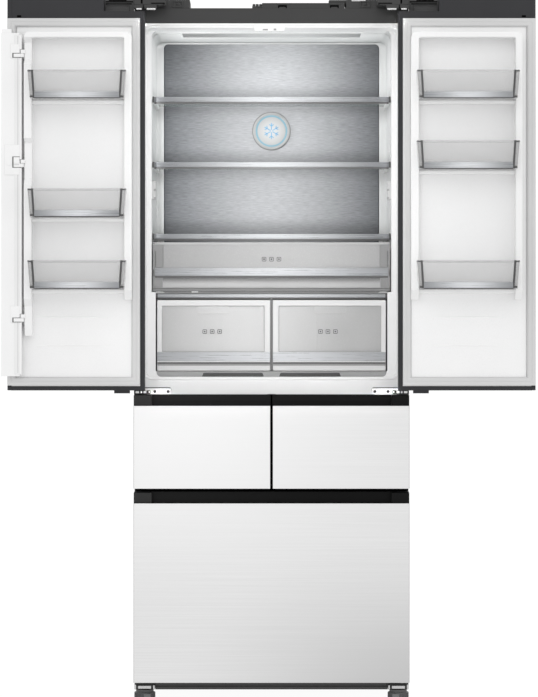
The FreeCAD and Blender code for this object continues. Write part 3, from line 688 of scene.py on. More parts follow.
# Doors: liner with its rim, seal, end caps and bins
HINGE_POST = (378, 399)
HINGE_FOOT = 1088
DOORS = {
    "left": {"free": (648.6, 669.6), "foot": 990, "bins": {"top": 1628.8, "middle": 1309.4, "bottom": 1116}},
    "right": {"free": (660.2, 678.2), "foot": HINGE_FOOT,
              "bins": {"top": 1628.8, "middle": 1438.8, "bottom": 1116}},
}
FLAP_LEVELS = (1038.7, 1457.4, 1755.2)
FLAP_AXIS = (-675, -288)
RIM_BACK, RIM_FRONT = -255, -308
RIM_TOP, RIM_UNDER = 1813, 1797
FOOT_SHARE = 0.43
HINGE_SHARE = 0.6
HINGE_ZONES = [(RIM_TOP, 1), (1798, 1), (1785, HINGE_SHARE), (1739, HINGE_SHARE), (1725, 1), (1525, 1),
               (1514, HINGE_SHARE), (1417, HINGE_SHARE), (1398, 1), (1090, 1), (1071, HINGE_SHARE),
               (1028, HINGE_SHARE), (990, FOOT_SHARE)]
BIN_HEIGHT, BIN_WALL = 78, 2.5
BIN_BACK, BIN_SHOULDER, BIN_FRONT = -256.9, -310, -351.8
SEAL_SECTION = [(0, -254.3), (0, -263.6), (0.8, -265.2), (2.4, -265.8), (8.6, -265.8), (9.6, -264.8),
                (11, -264.8), (12, -265.8), (19, -265.6), (20.6, -264.6), (21.2, -262), (23, -261),
                (23.6, -258.4), (23.6, -254.3)]


def share_at(table, z):
    """The value at height z in a table of (height, value), highest first."""
    for (z1, v1), (z0, v0) in zip(table, table[1:]):
        if z >= z0:
            return v0 + (v1 - v0) * min((z - z0) / (z1 - z0), 1)
    return table[-1][1]


def rim_form(side, free, free_foot):
    """The raised rim round a door's shelf space, an upside-down U with sloped feet."""
    near, far = HINGE_POST
    corners = [(free[1], free_foot, 3), (free[1], RIM_TOP, 14), (near, RIM_TOP, 14), (near, HINGE_FOOT, 3),
               (far, HINGE_FOOT, 3), (far, RIM_UNDER, 5), (free[0], RIM_UNDER, 5), (free[0], free_foot, 3)]
    bm = prism([(side * a, z) for a, z in eased(corners)], "y", RIM_BACK, RIM_FRONT, 5, 4)
    plain = [(RIM_TOP, 1), (HINGE_FOOT + 26, 1), (HINGE_FOOT, FOOT_SHARE)]
    free_table = HINGE_ZONES if free_foot < HINGE_FOOT else plain
    for z in sorted({z for z, _ in plain[1:-1] + free_table[1:-1]}):
        whole = bm.verts[:] + bm.edges[:] + bm.faces[:]
        bmesh.ops.bisect_plane(bm, geom=whole, plane_co=(0, 0, z), plane_no=(0, 0, 1))
    middle = side * (free[0] + far) / 2
    for v in bm.verts:
        table = free_table if (v.co.x - middle) * side > 0 else plain
        v.co.y = RIM_BACK + (v.co.y - RIM_BACK) * share_at(table, v.co.z)
    return bm


def ridge_form(side, z):
    """A long low ridge that fades at both ends."""
    a0, a1, height, steps = 436, 640, 1.6, 12
    loops = []
    for k in range(steps + 1):
        rise = 0.05 + height * math.sin(math.pi * k / steps) ** 0.7
        x = side * (a0 + (a1 - a0) * k / steps)
        loops.append([(x, -256.2, z - 4.5), (x, -256.5 - rise * 0.7, z - 1.5), (x, -256.5 - rise, z + 0.6),
                      (x, -256.2, z + 2.4)])
    return loft(loops)


def bin_outline(side, reach, inset, taper, lean):
    """A bin seen from above: a narrow back between the posts and a wider front over them."""
    back, shoulder, front = BIN_BACK - inset, BIN_SHOULDER - inset, BIN_FRONT + inset + lean
    r0, r1, f0, f1 = reach
    r0, r1 = r0 + inset, r1 - inset
    f0, f1 = f0 + inset + taper, f1 - inset - taper
    corners = [(r0, back, 4), (r1, back, 4), (r1, shoulder, 2), (f1, shoulder, 2), (f1, front, 7),
               (f0, front, 7), (f0, shoulder, 2), (r0, shoulder, 2)]
    return [(side * a, y) for a, y in eased(corners, 4)]


def leaning(side, foot, head, z0, z1, soft=0):
    """A bar from z0 to z1, whose foot and head are (a0, a1, y0, y1), out from the middle on one side."""
    loops = []
    for (a0, a1, y0, y1), z in ((foot, z0), (head, z1)):
        loops.append([(side * a, y, z) for a, y in ((a0, y0), (a1, y0), (a1, y1), (a0, y1))])
    return loft(loops, soft=soft)


def bin_pieces(name, side, free_edge, z0):
    """A frosted bin with its smoked corner posts, end clips, metal strip and a dark lower edge that is
    painted shade.
    """
    body, top = name + "_body", z0 + BIN_HEIGHT
    f0, f1 = HINGE_POST[1] - 8, free_edge + 9
    reach = (HINGE_POST[1] + 1, free_edge - 1, f0, f1)
    levels = [(0, 0.8, 7, 7), (0.8, 0, 6.4, 6.2), (BIN_HEIGHT - 1.2, 0, 0, 0), (BIN_HEIGHT, 0.8, 0, 0),
              (BIN_HEIGHT, BIN_WALL - 0.6, 0, 0), (BIN_WALL, BIN_WALL, 6.6, 6.4)]
    loops = [at(bin_outline(side, reach, *rest), "z", z0 + z) for z, *rest in levels]
    piece(name + "_shell", [loft(loops)], body, BIN_CLEAR, stands_for=name)
    a0, a1 = f0 + 13, f1 - 13
    brim = side_block(side, a0 + 3, a1 - 3, -351.95, -351.2, top - 7, top - 0.3, 0.25)
    piece(name + "_brim", [brim], body, BRIM_FILM)
    posts, films = [], []
    for a, outer, way in ((a0, f0 + 1, 1), (a1, f1 - 1, -1)):
        low = a + way * 5
        posts += [
            leaning(side, (low - 2.4, low + 2.4, -347.8, -343.4), (a - 2.8, a + 2.8, -351.9, -346),
                    z0 + 2, top - 0.4, 0.7),
            side_block(side, outer, a + way * 4, -351.7, -348, top - 5.6, top - 1),
            side_block(side, outer + way * 6, a + way * 8, -347.8, -343.2, z0 + 3, z0 + 8.6)]
        films.append(leaning(side, (outer + way * 6, a + way * 3, -345, -344.2),
                             (outer + way, a - way * 2, -350.4, -349.6), z0 + 9, top - 6))
    piece(name + "_films", films, body, BIN_FILM)
    piece(name + "_posts", posts, body, POST_DARK)
    s0, s1 = sided(side, a0 + 6, a1 - 6)
    section = [(-350.8, z0 + 3.2), (-344, z0 + 3.2), (-345.4, z0 + 18.6), (-352, z0 + 18.6)]
    finish = strip_finish((s0 + s1) / 2, (s1 - s0) / 2, (142, 154))
    piece(name + "_strip", [prism(section, "x", s0, s1, 0.7)], body, finish)
    # Dark lower edge: painted shade under the bin
    section = [(-350.6, z0 + 0.4), (-347, z0 + 0.4), (-347, z0 + 2.8), (-350.9, z0 + 2.8)]
    piece(name + "_edge", [prism(section, "x", s0, s1, 0.5)], body, POST_DARK)


for name, door in DOORS.items():
    side, free, body = SIDE_OF[name], door["free"], name + "_door"
    forms = [side_block(side, 379, 692, -256.5, -254.2, 878.8, 1829.6, 1), rim_form(side, free, door["foot"])]
    for z in door["bins"].values():
        forms.append(side_block(side, HINGE_POST[1] - 1, free[0] + 1, -287, -255.5, z - 10.5, z - 0.3, 3, 3))
    forms += [ridge_form(side, z) for z in (1042, 963)]
    if name == "left":
        for z in FLAP_LEVELS:
            forms.append(block(-676, -667, -292.6, -283.4, z + 0.1, z + 9.9, 1))
            forms.append(turned([(4.2, 0.1), (5, 0.8), (5, 9.2), (4.2, 9.9)], (*FLAP_AXIS, z), "z", 24))
    piece(name + "_liner_shell", forms, body, DOOR_LINER, name + "_door_liner", smooth=30)
    seal = banded((*sided(side, 357, 717.5), 855.6, 1853), SEAL_SECTION, 4)
    piece(name + "_seal", [seal], body, GASKET, name + "_door_gasket", smooth=50)
    # Near-black strips in the door's top gaps and hinge pocket: painted shade
    pocket = [side_block(side, 680.5, 691.5, -255.6, -253, 1856.6, 1862, 1.2, 3)]
    for a0, a1, z0, z1 in ((396, 444, 1906.2, 1911.4), (378, 453, 1902, 1905), (382, 453, 1896.4, 1899.2)):
        pocket.append(side_block(side, a0, a1, -204.6, -202, z0, z1, 0.5))
    piece(name + "_pocket_black", pocket, body, GAP_BLACK)
    ends = [side_block(side, 706.4, 717.8, -255, -250, *span) for span in ((1853.4, 1907.6), (842.4, 855.2))]
    piece(name + "_cap_end", ends, body, DARK_CAP)
    section = [(0, -202.6), (0, -205.4), (0.6, -206), (1.8, -206), (2.4, -202.6)]
    plates = [side_block(side, 375, 460, -203, -199, 1868, 1911.6, 0.7),
              banded((*sided(side, 388, 455), 1874, 1895), section, 1.5)]
    piece(name + "_pocket", plates, body, POCKET_DARK)
    for level, z in door["bins"].items():
        bin_pieces(name + "_bin_" + level, side, free[0], z)

# Folding flap on the left door
FLAP_FACE, FLAP_BACK = -287.2, -268.8
KNUCKLE_ROOM = -682
BEAD_LOW, BEAD_HIGH = 886, 1806
flap_forms = [prism(oblong(-732.8, -681.6, FLAP_FACE, FLAP_BACK, 4), "z", 880.6, 1811, 1.6, 3),
              block(-730.8, -704.4, -284.8, -271.2, 1810, 1821.8, 2, 3)]
flap_leaf = [block(-697, KNUCKLE_ROOM, FLAP_FACE - 1.4, FLAP_FACE + 1, BEAD_LOW, BEAD_HIGH, 0.9)]
link_shadows = []
bead_ends = [BEAD_LOW, *(z + step for z in FLAP_LEVELS for step in (-1, 11)), BEAD_HIGH]
for z0, z1 in zip(bead_ends[::2], bead_ends[1::2]):
    flap_forms.append(block(KNUCKLE_ROOM - 0.4, -676.4, FLAP_FACE - 2, FLAP_FACE + 1, z0, z1, 0.9))
pad_spans = ((-707, 12, 32, -0.4), (-723, 31, 50, 17), (-707, 12, 25, -0.4))
for z, (reach, under, over, link_top) in zip(FLAP_LEVELS, pad_spans):
    z0, z1 = z - under, z + over
    flap_forms += [
        turned([(4.2, -10.2), (5, -9.6), (5, -0.9), (4.2, -0.4)], (*FLAP_AXIS, z), "z", 24),
        block(reach, KNUCKLE_ROOM, FLAP_FACE - 2.6, FLAP_FACE + 1, z0, z1, 1.4, 3),
        block(-698.6, -676.4, FLAP_FACE - 4.2, FLAP_FACE, z - 10.2, z - 0.6, 1.2)]
    # Dark strips round each hinge link: painted shadow of the link
    link_shadows += [block(-702, -677, FLAP_FACE - 3.2, FLAP_FACE, z - 11.8, z - 0.6, 0.5),
                  block(-702, KNUCKLE_ROOM, FLAP_FACE - 3.2, FLAP_FACE, z - 0.8, z + link_top + 1.6, 0.4)]
    section = [(0, FLAP_FACE + 0.4), (0, FLAP_FACE - 0.8), (1.3, FLAP_FACE - 0.8), (1.3, FLAP_FACE + 0.4)]
    flap_leaf.append(banded((reach - 1.2, KNUCKLE_ROOM + 0.3, z0 - 1.2, z1 + 1.2), section, 2))
    if link_top > 0:
        flap_forms.append(block(-698.6, KNUCKLE_ROOM, FLAP_FACE - 4.2, FLAP_FACE, z - 4, z + link_top, 1.2))
    flap_forms.append(block(-680, -674.6, -292.2, -284, z - 10.2, z - 0.4, 1))
z = FLAP_LEVELS[1]
latch = eased([(-719, z - 6, 7), (-703, z - 6, 2), (-703, z + 20, 2), (-719, z + 20, 7)])
flap_forms.append(prism(latch, "y", FLAP_FACE - 4, FLAP_FACE - 2))
leaf_groove = block(-688.2, -685.8, FLAP_FACE - 1.7, FLAP_FACE, 890, 1802, 0.4)
piece("flap_body", flap_forms, "flap", DOOR_LINER, "door_flap", smooth=30)
piece("flap_leaf", flap_leaf, "flap", LEAF_GREY)
piece("flap_leaf_groove", [leaf_groove], "flap", GROOVE_GREY)
piece("flap_link_pads", link_shadows, "flap", SMOKE)


# Drawer fronts: skins, grip channels, cores and seals
def front_pieces(label, node, body, x0, x1, bottom, top, sides):
    """A folded brushed skin on a dark insulated core, with a black grip channel behind its top edge."""
    face, channel, inner, back = -258, -254, -223, -200
    low, high, wall, plug = top - 30, top + 31, 2, 49
    forms = [block(x0 + 0.2, x1 - 0.2, channel + 0.1, inner, low + 0.1, low + wall, 0.4),
             block(x0 + 0.2, x1 - 0.2, inner - wall, inner, low + 1, high - 0.1, 0.4),
             block(x0 + 0.2, x1 - 0.2, channel + 0.1, channel + wall, low + 1, top - 3, 0.4)]
    returns = []
    for side in sides:
        edge = x0 if side < 0 else x1
        span = sorted((edge - side * 0.1, edge - side * (plug + 0.1)))
        end = block(*span, channel + 6, inner - 1, low + 1.2, high - 2, 1.4, 3)
        if side > 0:
            forms.append(end)
        else:
            piece(label + "_grip_end", [end], body, GRIP_END)
        span = sorted((edge, edge - side * 1.6))
        returns.append(block(*span, face + 0.8, back - 1, bottom + 0.4, low - 0.6, 0.4))
        returns.append(block(*span, face + 0.8, channel, low - 1, top - 0.4, 0.4))
    grip = node.replace("_front", "_grip")
    piece(label + "_grip_channel", forms, body, GRIP_BLACK, grip)
    section = eased([(face, bottom, 1.4), (face, top, 1.8), (channel, top, 1.2), (channel, bottom, 0.6)], 3)
    skin = prism(section, "x", x0 + 1.2, x1 - 1.2, 0.9, 3)
    piece(label + "_skin", [skin], body, FRONT_WHITE, node)
    piece(label + "_edges", returns, body, EDGE_STEEL)
    section = [(channel - 0.1, bottom + 0.6), (channel - 0.1, low - 0.2), (inner + 0.2, low - 0.2),
               (inner + 0.2, high), (back, high), (back, bottom + 0.6)]
    core = prism(section, "x", x0 + 0.6, x1 - 0.6, 1.2, 3)
    piece(label + "_core", [core], body, DARK_CAP)
    section = [(0, -200.4), (0, -191.6), (1.4, -189.9), (9, -189.7), (11, -190.6), (16, -190.8), (17, -193),
               (17, -200.4)]
    seal = banded((x0 + 12, x1 - 12, bottom + 12, high - 6), section, 6)
    piece(label + "_seal", [seal], body, GASKET, smooth=50)


front_pieces("left_front", "drawer_left_front", "left_drawer", -375, -2.5, 575, 800, (-1,))
front_pieces("right_front", "drawer_right_front", "right_drawer", 2.5, 375, 575, 800, (1,))
front_pieces("freezer_face", "freezer_front", "freezer_drawer", -375, 375, 47.5, 535, SIDES)
# Near-black strips on the frame behind the gaps between the fronts: painted shade in the gaps
dark_strips = [block(-11, 11, -189.2, -187.5, 566, 831.5, 0.5),
               block(-374, 374, -189.4, -187.4, 552, 586, 0.5)]
piece("mullion_strips", dark_strips, "cabinet", GAP_BLACK)


# Fridge space: rim, sleeve, panel, cap, marks, lamp and flap track
def wall_path(inset, drop, turn):
    """The way up one wall, across the ceiling and down the other wall."""
    half, top = WALL_HALF - inset, CEILING - drop
    return eased([(-half, WALL_LOW, 0), (-half, top, turn), (half, top, turn), (half, WALL_LOW, 0)], 8)


section = [(0, -187.2), (0.4, -188.8), (2, -189.6), (5, -189.8), (7.4, -189.2), (8.2, -187.4), (8.3, -180),
           (6, -180)]
mouth = banded((-352.2, 352.2, 869.8, 1841.2), section, 24, 8)
piece("mouth_rim", [mouth], "cabinet", WHITE_LINER, smooth=50)
sleeve = [(0.2, -16), (0.7, -17.2), (1.2, -16), (1.2, 250), (0.2, 250)]
loops = [at(wall_path(min(i, 1.1), i, 19 - i * 0.5), "y", y) for i, y in sleeve]
piece("inner_sleeve", [open_sweep(loops)], "cabinet", SHADED_WALL)
cove = [(1, 240.6), (2.6, 244.2), (5.6, 247), (10, 248.8), (22.8, 249.6), (22.8, 253), (1, 253)]
loops = [at(wall_path(i, 2 + i * 0.19, 19 - i * 0.3), "y", y) for i, y in cove]
piece("panel_surround", [open_sweep(loops)], "cabinet", COVE_WALL)
# Clip covers in a grey below the wall's white: painted shade, as the wall round them lies in shade
clip_covers = [side_block(side, 320.4, 330.9, -84.6, -35.4, 1368.4, 1419.4, 1.6, 3) for side in SIDES]
piece("wall_clip_covers", clip_covers, "cabinet", CLIP_GREY)
# Dark bars on the clip covers: painted shade in the clips' notches
clip_lines = [side_block(side, 320, 326, -85, -60, *span)
              for side in SIDES for span in ((1392, 1398), (1370, 1375))]
piece("wall_clip_grooves", clip_lines, "cabinet", SKIRT)

plate = oblong(-307.5, 307.5, 1120, 1827, 12, 11)
plate_face = oblong(-306, 306, 1121.5, 1825.5, 11, 11)


def ring_points(radius):
    """Points round the fan opening, one for each point of the panel's outline."""
    angles = [math.atan2(z - CAP_Z, x - CAP_X) for x, z in plate]
    return [(CAP_X + radius * math.cos(a), CAP_Z + radius * math.sin(a)) for a in angles]


opening, duct = ring_points(40), ring_points(60)
steps = [(plate, 289.8), (plate, 251.6), (plate_face, 250), (opening, 250), (opening, 253), (duct, 253),
         (duct, 289.8)]
panel = loft([at(outline, "y", y) for outline, y in steps], ring=True)
piece("air_panel", [panel], "cabinet", AIR_STEEL, "back_panel")


def cap_turned(profile, ring=True):
    """A part of the round cap, turned about its middle."""
    return [turned(profile, (CAP_X, 0, CAP_Z), "y", 96, ring)]


disc = [(0, 243.4), (38.6, 243.2), (39.8, 243.6), (40, 244.2), (45.6, 244.2), (45.8, 243), (48, 242.2),
        (51.6, 242.6), (53, 244.6), (53, 249.8), (30, 249.9)]
blue_ring = [(40.2, 244.3), (40.4, 243.5), (42.8, 243.2), (45.2, 243.5), (45.4, 244.3)]
# A dark ring round the cap: painted shade at its rim
rim_shade = [(53.1, 249.9), (53.1, 247.2), (54.6, 247.4), (55.2, 249.9)]
piece("cap_disc", cap_turned(disc, ring=False), "cabinet", SILVER_CAP, "air_cap", smooth=25)
piece("cap_ring", cap_turned(blue_ring), "cabinet", CAP_RING, smooth=50)
piece("cap_seat", cap_turned(rim_shade), "cabinet", DIVIDER, smooth=50)
arm = [block(-1, 1, 242.5, 243.6, 3, 23, 0.3)]
for turn in (50, -50):
    barb = block(-1, 1, 242.6, 243.6, -1, 8, 0.3)
    swing = Matrix.Rotation(math.radians(turn), 3, "Y")
    bmesh.ops.rotate(barb, verts=barb.verts, cent=(0, 243, 0), matrix=swing)
    bmesh.ops.translate(barb, verts=barb.verts, vec=(0, 0, 14))
    arm.append(barb)
arm_spots = [(CAP_X, 0, CAP_Z, 0, 60 * k, 0) for k in range(6)]
repeated("cap_flake", arm, arm_spots, FLAKE_BLUE, "cabinet", "silver_cap")

MARK_STEP = 20.6
MARK_ROWS = (("fresh", "fresh_drawer", 0, 1203, TRAY_FACE),
             ("left_crisper", "left_crisper", -164, 1003, PANE_FACE),
             ("right_crisper", "right_crisper", 156, 1003, PANE_FACE))
for name, body, x, z, face in MARK_ROWS:
    section = [(0, face + 0.2), (0, face - 0.3), (1.5, face - 0.3), (1.5, face + 0.2)]
    outlined = [banded((-6, 6, -6, 6), section, 2), block(-2, 2, face - 0.3, face + 0.2, -2, 2, 0.1)]
    mark_spots = [(x + MARK_STEP * k, 0, z, 0, 0, 0) for k in (-1, 0, 1)]
    repeated(name + "_marks", outlined, mark_spots, MARK, body, "dark_plastic")

LENS_FRONT, LENS_TOP, LENS_TILT = 1832.3, 1832.9, 0.017


def lens_loop(corners, drop=None):
    """An outline at the lens face, which leans down to the back, or at the flat top without a drop."""
    outline = eased(corners)
    if drop is None:
        return at(outline, "z", LENS_TOP)
    return [(x, y, LENS_FRONT - (y + 44) * LENS_TILT - drop) for x, y in outline]


lens = [(-249, -44, 3), (249, -44, 3), (247, 70, 3), (-247, 70, 3)]
lens_edge = [(-255, -49, 4), (255, -49, 4), (253, 75, 4), (-253, 75, 4)]
lens_form = loft([lens_loop(lens, 0), lens_loop(lens)])
piece("lamp_lens", [lens_form], "cabinet", LENS, "ceiling_lamp")
loops = [lens_loop(lens_edge), lens_loop(lens_edge, 0),
         lens_loop([(x * 0.997, y * 0.98, r) for x, y, r in lens_edge], 1),
         lens_loop([(x * 1.002, y, r) for x, y, r in lens], 1), lens_loop(lens)]
piece("lamp_frame", [loft(loops, ring=True)], "cabinet", DOOR_LINER)
track_face = eased([(-47, 1826, 4), (-30, 1824.7, 2), (20, 1824.7, 2), (37, 1826, 4), (37, 1845, 2),
                    (-47, 1845, 2)])
track_floor = eased([(-47, -187, 2), (37, -187, 2), (31, -154.4, 4), (-41, -154.4, 4)])
track = [prism(track_face, "y", -189.4, -186.2, 1, 3), prism(track_floor, "z", 1825.4, 1832.8, 1.4, 3)]
piece("flap_track", track, "cabinet", DOOR_LINER, "flap_guide")
slots = [block(-24, -10, -189.8, -188.8, 1826.8, 1830.6, 0.3),
         block(6, 13, -189.8, -188.8, 1826.8, 1831.6, 0.3)]
piece("track_slots", slots, "cabinet", SKIRT)


# Shelves
def shelf_pieces(node, body, half, top, low, ends):
    """A glass plate in a brushed front trim with a dark strip under it."""
    front, back = -84, -70
    section = eased([(front, low, 2.5), (front, top, 3), (back, top, 1.2), (back, low, 1.2)], 4)
    trim = prism(section, "x", -half, half, 0.6)
    piece(node + "_trim", [trim], body, strip_finish(0, half, ends), node)
    glass = block(-half + 0.3, half - 0.3, back - 0.2, SHELF_BACK, top - 4.8, top - 1, 0.5)
    piece(node + "_glass", [glass], body, SHELF_GLASS)
    under = block(-half + 5.2, half - 5.2, front + 1.6, back - 1, low - 4.6, low + 0.2)
    piece(node + "_under", [under], body, UNDER_GREY)
    cap = (half - 5, half + 0.1, front - 0.4, back + 1.2, low - 1, top + 1.2, 0.7)
    caps = [side_block(side, *cap) for side in SIDES]
    piece(node + "_end_caps", caps, body, POST_DARK)


SHELF_BODIES = {"shelf_top": "upper_shelf", "shelf_middle": "centre_shelf", "shelf_bottom": "lower_shelf"}
for (node, body), top in zip(SHELF_BODIES.items(), SHELF_TOPS):
    shelf_pieces(node, body, 329.5, top, top - 14, (116, 128))
shelf_pieces("crisper_shelf", "cabinet", 319.8, 1108, 1096.6, (168, 180))
shelf_lip = block(-318, 318, -88, -74, 1108.2, 1114.6)
piece("crisper_shelf_lip", [shelf_lip], "cabinet", FRESH_FOOT)
shelf_ends = []
for side in SIDES:
    ledge = [(319.4, 1109.4, 0.5), (294, 1109.4, 0.5), (301, 1114.4, 0.5), (319.4, 1114.4, 0.5)]
    shelf_ends.append(prism(eased([(side * a, z, r) for a, z, r in ledge]), "y", -88.8, -86, 0.5))
piece("crisper_shelf_ends", shelf_ends, "cabinet", CLIP_GREY)
shelf_tab = block(-221, -203, -89, -86, 1111.2, 1114.4, 0.6)
piece("crisper_shelf_tab", [shelf_tab], "cabinet", DOOR_LINER)


# Fresh food drawer and crispers
def tub(x0, x1, y0, z0, z1, lean):
    """An open box with rounded corners and walls that lean outwards."""
    wall, radius = 2.5, 9
    loops = []
    for inset, z in ((lean + 1, z0), (lean, z0 + 1.2), (0, z1 - 0.8), (0.7, z1), (wall - 0.5, z1),
                     (wall + lean, z0 + wall)):
        path = oblong(x0 + inset, x1 - inset, y0 + inset * 0.6, TRAY_BACK - inset, radius, 4)
        loops.append(at(path, "z", z))
    return loft(loops)


def fresh(name, forms, finish, stands_for=None):
    """A piece of the fresh food drawer."""
    piece("fresh_" + name, forms, "fresh_drawer", finish, stands_for)


def fresh_ends(*spans):
    """The same blocks at both ends of the fresh food drawer."""
    return [side_block(side, *span) for side in SIDES for span in spans]


section = eased([(TRAY_FACE, 1115.2, 3), (TRAY_FACE, 1249.8, 2), (-89.5, 1249.8, 1.5), (-86.8, 1243, 1),
                 (-86.8, 1115.2, 1)], 3)
forms = [tub(-318, 318, -87.4, 1117, 1243.8, 6), *fresh_ends((316, 328.6, -86, TRAY_BACK, 1240.4, 1243.8)),
         prism(section, "x", -328, 328, 0.9)]
fresh("tub", forms, FRESH_CLEAR, "fresh_tray")
fresh("end_boxes", fresh_ends((300, 326.5, -86.9, -70, 1121, 1247, 1.2)), END_CLEAR)
forms = fresh_ends((299.2, 300.2, -94.8, -93.6, 1182, 1246, 0.4), (319, 322, -94.8, -93.6, 1182, 1226, 0.4),
                   (325.2, 327.6, -94.8, -93.6, 1156, 1174, 0.4))
fresh("end_lines", forms, SMOKE)
forms = fresh_ends((300.8, 327.4, -94.6, -93.7, 1180, 1246, 0.3), (302, 326, -95.4, -93.7, 1123.4, 1150, 0.7),
                   (307, 318, -96.4, -95.2, 1131, 1140, 0.6))
fresh("end_films", forms, END_FILM)
fresh("top_lip", [block(-322, 322, -95, -93.7, 1243.4, 1248.8, 0.5)], LIP_CLEAR)
section = eased([(-98, 1157, 1.2), (-98, 1179, 1.8), (-93.9, 1179, 0.8), (-93.9, 1157, 0.8)], 3)
fresh("strip", [prism(section, "x", -322, 322)], strip_finish(0, 322), "fresh_handle")
# Dark band under the strip: painted shade in the groove below it
fresh("groove", [block(-322, 322, -95.8, -93.8, 1151.4, 1157.2, 0.6)], SMOKE)
fresh("lip", [block(-300, 300, -95.4, -93.6, 1125, 1150, 0.9)], LIP_CLEAR)
fresh("foot", [block(-327, 327, -95.6, -93.4, 1115.6, 1120.4, 0.7)], FRESH_FOOT)
fresh("foot_line", [block(-327, 327, -95.8, -93.4, 1120.2, 1122.8, 0.5)], SMOKE)
# Painted shadow below the strip, fading downwards
fresh("shade", [block(-300, 300, -96.2, -95.6, 1134, 1152, 0.2)], FALLING_SHADE)

RIB_SPANS = {"left": (-136.4, -134), "right": (125, 127.4)}
WINDOW_LOW, WINDOW_HIGH, WINDOW_TURN = 946.8, 1074, 1.8
FRAME_STEPS = ((0, -88), (0, -93), (1, TRAY_FACE))
WINDOW_STEPS = ((-1.6, TRAY_FACE), (0, -92.6), (0, -88))
for name, side in SIDE_OF.items():
    body, node, label = name + "_crisper", "crisper_" + name, name + "_crisper_"
    x0, x1 = sided(side, 3.6, 316)
    w0, w1 = sided(side, 19.5, 303)
    rings = [at(oblong(x0 + i, x1 - i, 894.2 + i, 1090 - i, 3, 4), "y", y) for i, y in FRAME_STEPS]
    for i, y in WINDOW_STEPS:
        window = oblong(w0 + i, w1 - i, WINDOW_LOW + i, WINDOW_HIGH - i, WINDOW_TURN, 4)
        rings.append(at(window, "y", y))
    piece(label + "frame", [loft(rings, ring=True)], body, INNER_WALL, node + "_front")
    pane = [block(w0 - 2, w1 + 2, PANE_FACE, -88.4, WINDOW_LOW - 2, WINDOW_HIGH + 2, 0.6),
            side_block(side, 118, 206, -92.4, -90.8, 1052, 1073, 1),
            block(*RIB_SPANS[name], -91.6, -90.8, 951, 1054, 0.3)]
    piece(label + "pane", pane, body, PANE_CLEAR)
    section = [(0, -91.1), (0, -92.2), (1.3, -92.2), (1.3, -91.1)]
    line = banded((w0 + 0.1, w1 - 0.1, WINDOW_LOW + 0.1, WINDOW_HIGH - 0.1), section, WINDOW_TURN)
    piece(label + "window_line", [line], body, SKIRT)
    tray = tub(*sided(side, 7.6, 312), -87.8, 896.2, 1079.8, 5)
    piece(label + "tub", [tray], body, TRAY_CLEAR, node + "_tray")
    section = eased([(-97, 920.4, 1), (-97, 946.4, 1.8), (-93.8, 946.4, 0.6), (-93.8, 920.4, 0.6)], 3)
    finish = strip_finish(0, 316, (168, 180))
    piece(label + "strip", [prism(section, "x", x0, x1, 0.7)], body, finish)
    # Under each strip: a dark groove band and a grey band, both painted shade; a white line on the strip's
    # lower edge, a painted highlight; and a lip in a grey copy of the frame's white, painted shade
    for end, inset, span, slot, finish in (
            ("groove", 0.5, (-95.2, -93.6, 912.6, 919.2, 0.6), "dark_plastic", SMOKE),
            ("edge", 0.6, (-97.2, -94.6, 918.6, 920.6, 0.5), "handle_metal", DOOR_LINER),
            ("lip", 1, (-94.9, -93.7, 895.6, 908.6, 0.5), "white_liner", CRISPER_LIP),
            ("shade", 1, (-95, -93.7, 908.4, 912.8, 0.5), "white_liner", SKIRT)):
        piece(label + end, [block(x0 + inset, x1 - inset, *span)], body, finish)
    # Dark vent plates under the crisper fronts, darkened as painted shade of the space under the crispers
    v0, v1 = sided(side, 21, 192)
    vent_shade = eased([(v0, 878.6, 0.5), (v1, 878.6, 0.5), (v1 - 4, 889, 3), (v0 + 4, 889, 3)], 3)
    piece(name + "_floor_duct", [prism(vent_shade, "y", -98.4, -96, 0.5)], "cabinet", POST_DARK)
skirt = eased([(-330.4, 878.3, 14), (330.4, 878.3, 14), (330.4, 893, 1), (-330.4, 893, 1)])
piece("floor_skirt", [prism(skirt, "y", -97, -93.5, 0.5)], "cabinet", SKIRT)
CORNER_X, CORNER_Z, CORNER_TURN = 305.5, 890.2, 12
angles = [-math.pi * k / 12 for k in range(7)]
arc = [(CORNER_X + CORNER_TURN * math.cos(a), CORNER_Z + CORNER_TURN * math.sin(a)) for a in angles]
outline = [(330.7, 878.2), (330.7, 894), (317.5, 894)] + arc
corners = [prism([(side * x, z) for x, z in outline], "y", -103.6, -93.6, 0) for side in SIDES]
piece("floor_corners", corners, "cabinet", WHITE_LINER)
piece("crisper_divider", [block(-3, 3, -87.6, -60, 895, 1096.4)], "cabinet", DIVIDER)

# Covers and control box on the top
# Near-black strips in the gaps round the cover noses and in the control box's notches: painted shade
COVER_GAPS = ((293, 328, 1893.6, 1896.8), (290.6, 294, 1890.9, 1896.8), (350.6, 355.4, 1894, 1911))
cover_forms, cover_lines, bright_bits = [], [], []
ring_section = [(0, -187), (0, -190.4), (0.8, -191), (3, -191), (3.8, -189), (3.8, -187)]
for side, reach in ((-1, 223.4), (1, 203.4)):
    cover_forms += [side_block(side, reach, 373.6, -187.8, -68.4, 1886.1, COVER_TOP, 2.4, 3),
                    side_block(side, 287.4, 374.2, -247.6, -186, 1890.6, COVER_TOP, 2.8, 3)]
    for a0, a1, z0, z1 in COVER_GAPS:
        cover_lines.append(side_block(side, a0, a1, -247.9, -246.6, z0, z1, 0.5))
    for a0, a1 in ((353, 368), (315, 340)):
        bright_bits.append(side_block(side, a0, a1, -247.2, -234, 1877.6, 1882))
        cover_forms.append(side_block(side, a0 - 3, min(a1 + 6.4, 374.4), -246.8, -230, 1881.4, 1891.4, 1))
    cover_forms.append(banded((*sided(side, 242, 272), 1890, 1908), ring_section, 3))
